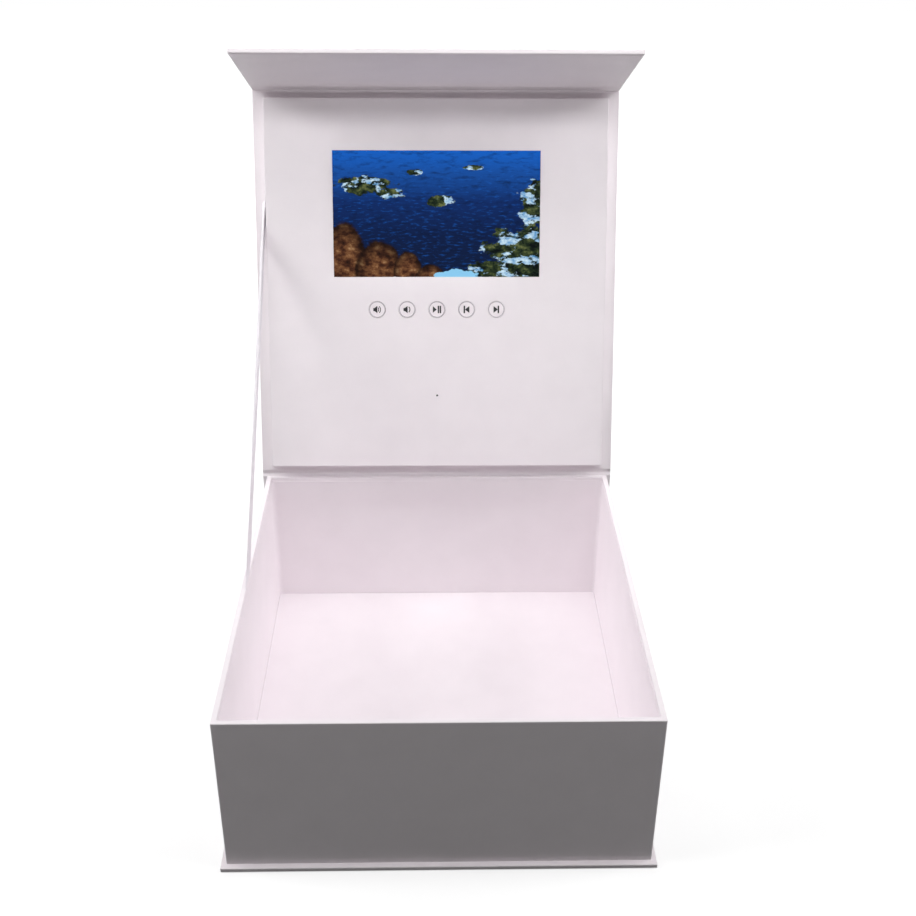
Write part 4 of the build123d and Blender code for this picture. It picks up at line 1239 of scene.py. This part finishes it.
@dataclass
class Sign:
    """The printed sign of a button, drawn flat and mirrored about its own axis."""

    icon: Icon
    level: float
    bar_w: float = 1.1
    bar_h: float = 5.5
    box_w: float = 1.0  # box and horn of the loudspeaker
    box_h: float = 2.3
    horn_w: float = 2.0
    horn_h: float = 5.4
    line: float = 0.6  # width of a sound wave's line
    bulge: float = 1.0  # from the waves' common centre to the horn's mouth
    spread: float = 0.8  # half the angle that a wave spans, in radians
    wave_steps: int = 10
    mesh: Mesh = field(default_factory=bmesh.new)

    def polygon(self, *corners: Pair) -> None:
        """Adds a flat shape, by its corners in order."""
        self.mesh.faces.new([self.mesh.verts.new((x, y, self.level)) for x, y in corners])

    def bar(self, left: float) -> None:
        """Adds an upright bar, from its left side."""
        right, half = left + self.bar_w, self.bar_h / 2
        self.polygon((left, -half), (right, -half), (right, half), (left, half))

    def triangle(self, base: float, tip: float, height: float) -> None:
        """Adds a triangle, by where its upright base is, where it points to and how high it is."""
        self.polygon((base, -height / 2), (tip, 0), (base, height / 2))

    def wave(self, centre: float, radius: float) -> None:
        """Adds one sound wave.

        Args:
            centre: the arc's centre, on the sign's axis.
            radius: its middle radius.
        """
        middle, way = Vector((centre, 0, self.level)), Matrix.Rotation(-self.spread, 3, "Z") @ RIGHT
        ends = [self.mesh.verts.new(middle + way * (radius + side * self.line / 2)) for side in (-1, 1)]
        bmesh.ops.spin(self.mesh, geom=[*ends, self.mesh.edges.new(ends)], cent=(centre, 0, 0),
                       axis=(0, 0, 1), dvec=(0, 0, 0), angle=2 * self.spread, steps=self.wave_steps,
                       use_merge=False, use_duplicate=False)

    def speaker(self, left: float, *waves: float) -> None:
        """Adds a loudspeaker and its waves.

        Args:
            left: its left end.
            *waves: how far each wave is from its mouth.
        """
        mid, box, horn = left + self.box_w, self.box_h / 2, self.horn_h / 2
        right = mid + self.horn_w
        self.polygon((left, -box), (mid, -box), (right, -horn), (right, horn), (mid, box), (left, box))
        for away in waves:
            self.wave(right - self.bulge, away + self.bulge)

    def build(self) -> Mesh:
        """Draws the sign.

        Returns:
            The mesh.
        """
        match self.icon:
            case Icon.VOLUME_UP:
                self.speaker(-3.0, 1.05, 2.4)
            case Icon.VOLUME_DOWN:
                self.speaker(-2.65, 1.75)
            case Icon.PLAY_PAUSE:
                self.triangle(-3.0, -0.2, 4.9)
                self.bar(0.6)
                self.bar(2.05)
            case Icon.PREVIOUS:
                self.bar(-2.25)
                self.triangle(2.0, -1.3, 5.0)
            case Icon.NEXT:
                self.triangle(-2.05, 1.1, 5.0)
                self.bar(1.0)
        bmesh.ops.remove_doubles(self.mesh, verts=self.mesh.verts, dist=MERGE)
        return self.mesh


@dataclass
class Button:
    """A round moulded cap with a printed sign, and a thin grey ring at its edge that is painted shade of the
    narrow gap round the cap.
    """

    icon: Icon
    x: float
    up: float
    cap_d: float = 12.0
    flange_d: float = 14.4
    stem_d: float = 3.5
    stem_low: float = 9.0
    flange_low: float = 9.6
    flange_high: float = 10.2
    edge_radius: float = 0.18
    flange_radius: float = 0.1
    rim_w: float = 1.2
    ring_w: float = 0.36
    dish: float = 0.06  # how much lower the face is in its middle
    ink: float = 0.03
    sides: int = 48

    def build(self) -> None:
        """Makes the cap, its print and its ring of painted shade, and lets them ride."""
        place = SHAPE.lid.matrix @ Matrix.Translation((self.x, self.up, 0))
        sign = Sign(self.icon, SHAPE.face_level - self.ink / 3).build()
        for kind, bm, finish, node in (("cap", self.cap(), ABS, f"button_{self.icon}"),
                                       # the grey ring is painted shade of the narrow gap between the cap and its
                                       # hole
                                       ("ring", self.printed(self.ring()), GAP_SHADE, ""),
                                       ("sign", self.printed(sign), INK, "")):
            publish(bm, f"{kind}_{self.icon}", finish, f"{self.icon}_cap", node, place)

    def cap(self) -> Mesh:
        """The cap, turned about its axis, with a rounded edge and a slightly dished face.

        Returns:
            The mesh.
        """
        top, r, stem, flange = SHAPE.face_level, self.cap_d / 2, self.stem_d / 2, self.flange_d / 2
        outline = [(0, self.stem_low), (stem, self.stem_low), (stem, self.flange_low),
                   (flange, self.flange_low), (flange, self.flange_high), (r, self.flange_high),
                   (r, top), (r - self.rim_w, top), (r / 2, top - self.dish * 0.7), (0, top - self.dish)]
        bm = bmesh.new()
        verts = [bm.verts.new((along, 0, level)) for along, level in outline]
        lines = [bm.edges.new(pair) for pair in zip(verts, verts[1:])]
        bmesh.ops.spin(bm, geom=verts + lines, cent=(0, 0, 0), axis=(0, 0, 1), dvec=(0, 0, 0), angle=math.tau,
                       steps=self.sides, use_merge=True, use_duplicate=False)
        bmesh.ops.remove_doubles(bm, verts=bm.verts, dist=MERGE)
        bmesh.ops.recalc_face_normals(bm, faces=bm.faces)

        def round_at(line: Line, radius: float) -> bool:
            """True for a level edge on the circle of a radius."""
            return not upright(line) and all(abs(v.co.xy.length - radius) < NEAR for v in line.verts)

        soften(bm, self.edge_radius, lambda line: round_at(line, r) and between(line, ANY, ANY, about(top)))
        soften(bm, self.flange_radius, lambda line: round_at(line, flange), segments=2)
        return bm

    def ring(self) -> Mesh:
        """The ring of painted shade at the cap's edge, for the narrow gap round the cap, drawn flat.

        Returns:
            The mesh.
        """
        r, level = self.cap_d / 2 - self.edge_radius, Matrix.Translation((0, 0, SHAPE.face_level))
        bm = bmesh.new()
        lines = lines_of(bmesh.ops.create_circle(bm, segments=self.sides, radius=r, matrix=level)["verts"])
        inner = only(Vert, bmesh.ops.extrude_edge_only(bm, edges=lines)["geom"])
        bmesh.ops.scale(bm, vec=(1 - self.ring_w / r, 1 - self.ring_w / r, 1.0), verts=inner)
        return bm

    def printed(self, bm: Mesh) -> Mesh:
        """Gives flat shapes, the printed sign and the ring of painted shade, the thickness of a layer of ink,
        facing up.

        Args:
            bm: the mesh.

        Returns:
            The mesh.
        """
        for face in bm.faces:
            face.normal_update()
            if face.normal.z < 0:
                face.normal_flip()
        made = bmesh.ops.extrude_face_region(bm, geom=bm.faces[:])["geom"]
        bmesh.ops.translate(bm, vec=(0, 0, self.ink), verts=only(Vert, made))
        bmesh.ops.recalc_face_normals(bm, faces=bm.faces)
        return bm


# ---------------------------------------------------------------- ribbon
@dataclass
class StayRibbon:
    """The satin ribbon that stops the lid: a free span, gathered where it leaves the lid, and glued ends."""

    x: float = -127.65
    width: float = 15.0
    thick: float = 0.3
    lid_low: float = 190.0
    lid_high: float = 205.0
    rim_front: float = -11.0
    rim_back: float = 13.0
    tail: float = 26.0
    tail_grid: int = 4  # rows and columns of the tail, which lies flat
    tab_end: float = -111.5
    pleats: float = 3.0
    drift: float = 2.2  # how far the pleats drift sideways over the span, in radians
    rows: int = 60
    columns: int = 48
    anchor_drop: float = 12.5  # a depth below the rim
    keep: float = 0.04  # a share of its length, for the closed lid

    def build(self) -> None:
        """Makes the span, the tail and the tab, and lets them ride."""
        lid = [SHAPE.lid.at(up, SHAPE.lined, self.x) for up in (self.lid_high, self.lid_low)]
        rim = [Vector((self.x, y, SHAPE.rim_z)) for y in (self.rim_front, self.rim_back)]
        run = (lid[0] + lid[1]) - (rim[0] + rim[1])
        way, length = run.normalized(), run.length / 2
        behind = [corner - way * self.tail for corner in rim]
        span = publish(self.sheet(lid, rim, self.rows, self.columns, True), "ribbon_span", RIBBON, Body.TRAY,
                       "stay_ribbon", thickness=self.thick)
        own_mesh(span)
        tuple(way)
        tail = publish(self.sheet(rim, behind, self.tail_grid, self.tail_grid, False), "ribbon_tail", RIBBON,
                       Body.TRAY, thickness=self.thick)
        tab = publish(self.tab(), "ribbon_tab", RIBBON, Body.LID, place=SHAPE.lid.matrix)

    def sheet(self, high: list[Vector], low: list[Vector], rows: int, columns: int, gathered: bool) -> Mesh:
        """A strip between two edges.

        Args:
            high: front and back corner of the upper edge.
            low: front and back corner of the lower edge.
            rows: rows of faces along the strip.
            columns: faces across it.
            gathered: whether pleats take up the width that the edges leave.

        Returns:
            The strip, facing the tray's middle.
        """
        bm = plate((0, 0), (1, 1), 0, columns, rows)
        run = (high[0] + high[1]) - (low[0] + low[1])
        across, length = run.normalized().cross(RIGHT), run.length / 2
        lay(bm, "weave", lambda point: (point.x * self.width * MM, point.y * length * MM))
        for vert in bm.verts:
            u, v, _ = vert.co
            front, back = (a.lerp(b, v) for a, b in zip(low, high))
            vert.co = front.lerp(back, u)
            if gathered:
                chord = abs((back - front).dot(across))
                extra = max(0.0, (self.width / chord) ** 2 - 1)
                depth = chord / (math.tau * self.pleats) * math.sqrt(2 * extra)
                vert.co.x += depth * math.sin(math.tau * self.pleats * u + self.drift * v)
        bmesh.ops.recalc_face_normals(bm, faces=bm.faces)
        if sum(f.normal.x for f in bm.faces) < 0:
            bmesh.ops.reverse_faces(bm, faces=bm.faces)
        return bm

    def tab(self) -> Mesh:
        """The glued tab, under the panel.

        Returns:
            The mesh.
        """
        bm = block((self.x - self.thick / 2, self.lid_low, SHAPE.lined),
                   (self.tab_end, self.lid_high, SHAPE.lined + self.thick))
        lay(bm, "weave", lambda point: (point.y * MM, point.x * MM))
        return bm


# ---------------------------------------------------------------- studio
@dataclass(frozen=True)
class Lamp:
    """A soft rectangular lamp, whose grid may narrow its spread. Places and sizes are in metres."""

    name: str
    place: Triple
    aim: Triple
    size: Pair
    watts: float
    spread: float = 180.0

    def build(self) -> None:
        """Hangs the lamp."""
        light = bpy.data.lights.new(self.name, "AREA")
        light.shape, (light.size, light.size_y) = "RECTANGLE", self.size
        light.energy, light.spread = self.watts, math.radians(self.spread)
        lamp = link(self.name, light)
        lamp.location = self.place
        lamp.rotation_euler = (Vector(self.aim) - Vector(self.place)).to_track_quat("-Z", "Y").to_euler()


@dataclass
class Studio:
    """Pale floor, soft lamps, and the camera where the photograph was taken. Places are in metres."""

    focal: float = 47.941
    film_w: float = 36.0
    azimuth: float = 1.365
    pitch: float = 29.261
    roll: float = 0.482
    eye: Triple = (-0.003515, -0.675102, 0.587607)
    floor_half: float = 3.0
    floor_level: float = -0.0003
    floor_shade: Pair = (0.3, 1.1)  # distances between which the floor turns white to the eye
    floor_glow: Pair = (0.62, 1.0)  # its own light within and beyond them
    floor_grey: Pair = (0.5, 0.18)  # its paint to the eye, and to the light that it throws back
    ambient: float = 0.02
    lamps: tuple[Lamp, ...] = (
        Lamp("softbox_above", (0.0, -0.15, 3.0), (0.0, -0.15, 0.0), (3.0, 0.95), 27.6),
        Lamp("side_left", (-1.4, -0.05, 1.25), (0.0, 0.0, 0.05), (0.9, 0.6), 16.4),
        Lamp("side_right", (1.4, -0.05, 1.25), (0.0, 0.0, 0.05), (0.9, 0.6), 14.6),
        Lamp("fill_behind", (0.0, 1.5, 0.4), (0.0, 0.14, 0.15), (1.4, 0.5), 6.0),
        Lamp("gridded_high", (0.0, -0.52, 0.92), (0.0, 0.2, 0.25), (0.9, 0.12), 0.39, 50.0),
        Lamp("gridded_low", (0.0, -0.75, 0.2), (0.0, 0.2, 0.36), (0.5, 0.1), 0.08, 30.0),
    )

    def build(self) -> None:
        """Sets up the floor, the light and the camera."""
        self.floor()
        self.sky()
        for lamp in self.lamps:
            lamp.build()
        self.camera()

    def camera(self) -> None:
        """Places the camera."""
        azimuth, pitch, roll = (math.radians(a) for a in (self.azimuth, self.pitch, self.roll))
        ahead = Vector((math.sin(azimuth) * math.cos(pitch), math.cos(azimuth) * math.cos(pitch),
                        -math.sin(pitch)))
        right = Vector((math.cos(azimuth), -math.sin(azimuth), 0))
        up = right.cross(ahead)
        level = math.cos(roll) * right + math.sin(roll) * up
        upright = math.cos(roll) * up - math.sin(roll) * right
        turn = Matrix((level, upright, -ahead)).transposed().to_4x4()
        made = link("camera", bpy.data.cameras.new("camera"))
        made.data.lens, made.data.sensor_width = self.focal, self.film_w
        made.matrix_world = Matrix.Translation(self.eye) @ turn
        bpy.context.scene.camera = made

    def seen(self, tree: Tree, unseen: Socket, shown: Socket) -> Socket:
        """Shows one shader to the rays that see a surface, and another to those that it lights.

        Args:
            tree: node tree of the material or world.
            unseen: shader for the rays that it lights.
            shown: shader for rays from the camera, from gloss and through glass.

        Returns:
            The shader.
        """
        rays = add(tree, "LightPath").node.outputs
        both = add(tree, "Math", {0: rays["Is Camera Ray"], 1: rays["Is Glossy Ray"]}, operation="MAXIMUM")
        share = add(tree, "Math", {0: both, 1: rays["Is Transmission Ray"]}, operation="MAXIMUM")
        return add(tree, "MixShader", {0: share, 1: unseen, 2: shown})

    def floor(self) -> None:
        """A plain floor, white to the eye with the object's shadow on it, that throws less light back."""
        paint = bpy.data.materials.new("matt_floor_paint")
        tree, half = emptied(paint), self.floor_half
        reach = add(tree, "VectorMath", {0: add(tree, "TexCoord", out="Object")}, "Value", operation="LENGTH")
        ends = dict(enumerate((*self.floor_shade, *self.floor_glow), start=1))
        lit = add(tree, "Emission", {0: WHITE, 1: add(tree, "MapRange", {0: reach, **ends})})
        pale, dull = (add(tree, "BsdfDiffuse", {0: (grey, grey, grey, 1.0)}) for grey in self.floor_grey)
        add(tree, "OutputMaterial", {0: self.seen(tree, dull, add(tree, "AddShader", {0: lit, 1: pale}))})
        settle(plate((-half, -half), (half, half), self.floor_level), "studio_floor", paint)

    def sky(self) -> None:
        """White surroundings to the eye, and a low even light on the object."""
        world = bpy.data.worlds.new("studio_sky")
        bpy.context.scene.world = world
        tree = emptied(world)
        low = add(tree, "Background", {0: "#FDFFF6", 1: self.ambient})
        add(tree, "OutputWorld", {0: self.seen(tree, low, add(tree, "Background", {0: WHITE, 1: 1.0}))})


def dress_nodes() -> None:
    """Gives every node of the frame, but those in the ribbon's and the screen's slots, the finish of its material
    slot.
    """
    slots = {part["node"]: part["material_slot"] for part in frame["record"]["subparts"]}
    for name, piece in frame["nodes"].items():
        finish = FINISHES[slots[name]]
        if finish in (RIBBON, SCREEN):  # these need coordinates laid on the mesh, which only own pieces have
            continue
        for holder in piece.material_slots:
            holder.material = finish.material
        log.info("%s in %s", name, finish.name)


def main() -> None:
    """Builds the box's looks and the studio."""
    logging.basicConfig(level=logging.INFO, format="%(name)s: %(message)s")
    bpy.context.scene.view_settings.view_transform = "Standard"
    noise.seed_set(STRAY_SEED)
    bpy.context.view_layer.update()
    Studio().build()
    dress_nodes()
    for assembly in (Case(), Tray(), Panel(), StayRibbon()):
        assembly.build()
        log.info("%s built", type(assembly).__name__)


if __name__ == "__main__":
    main()
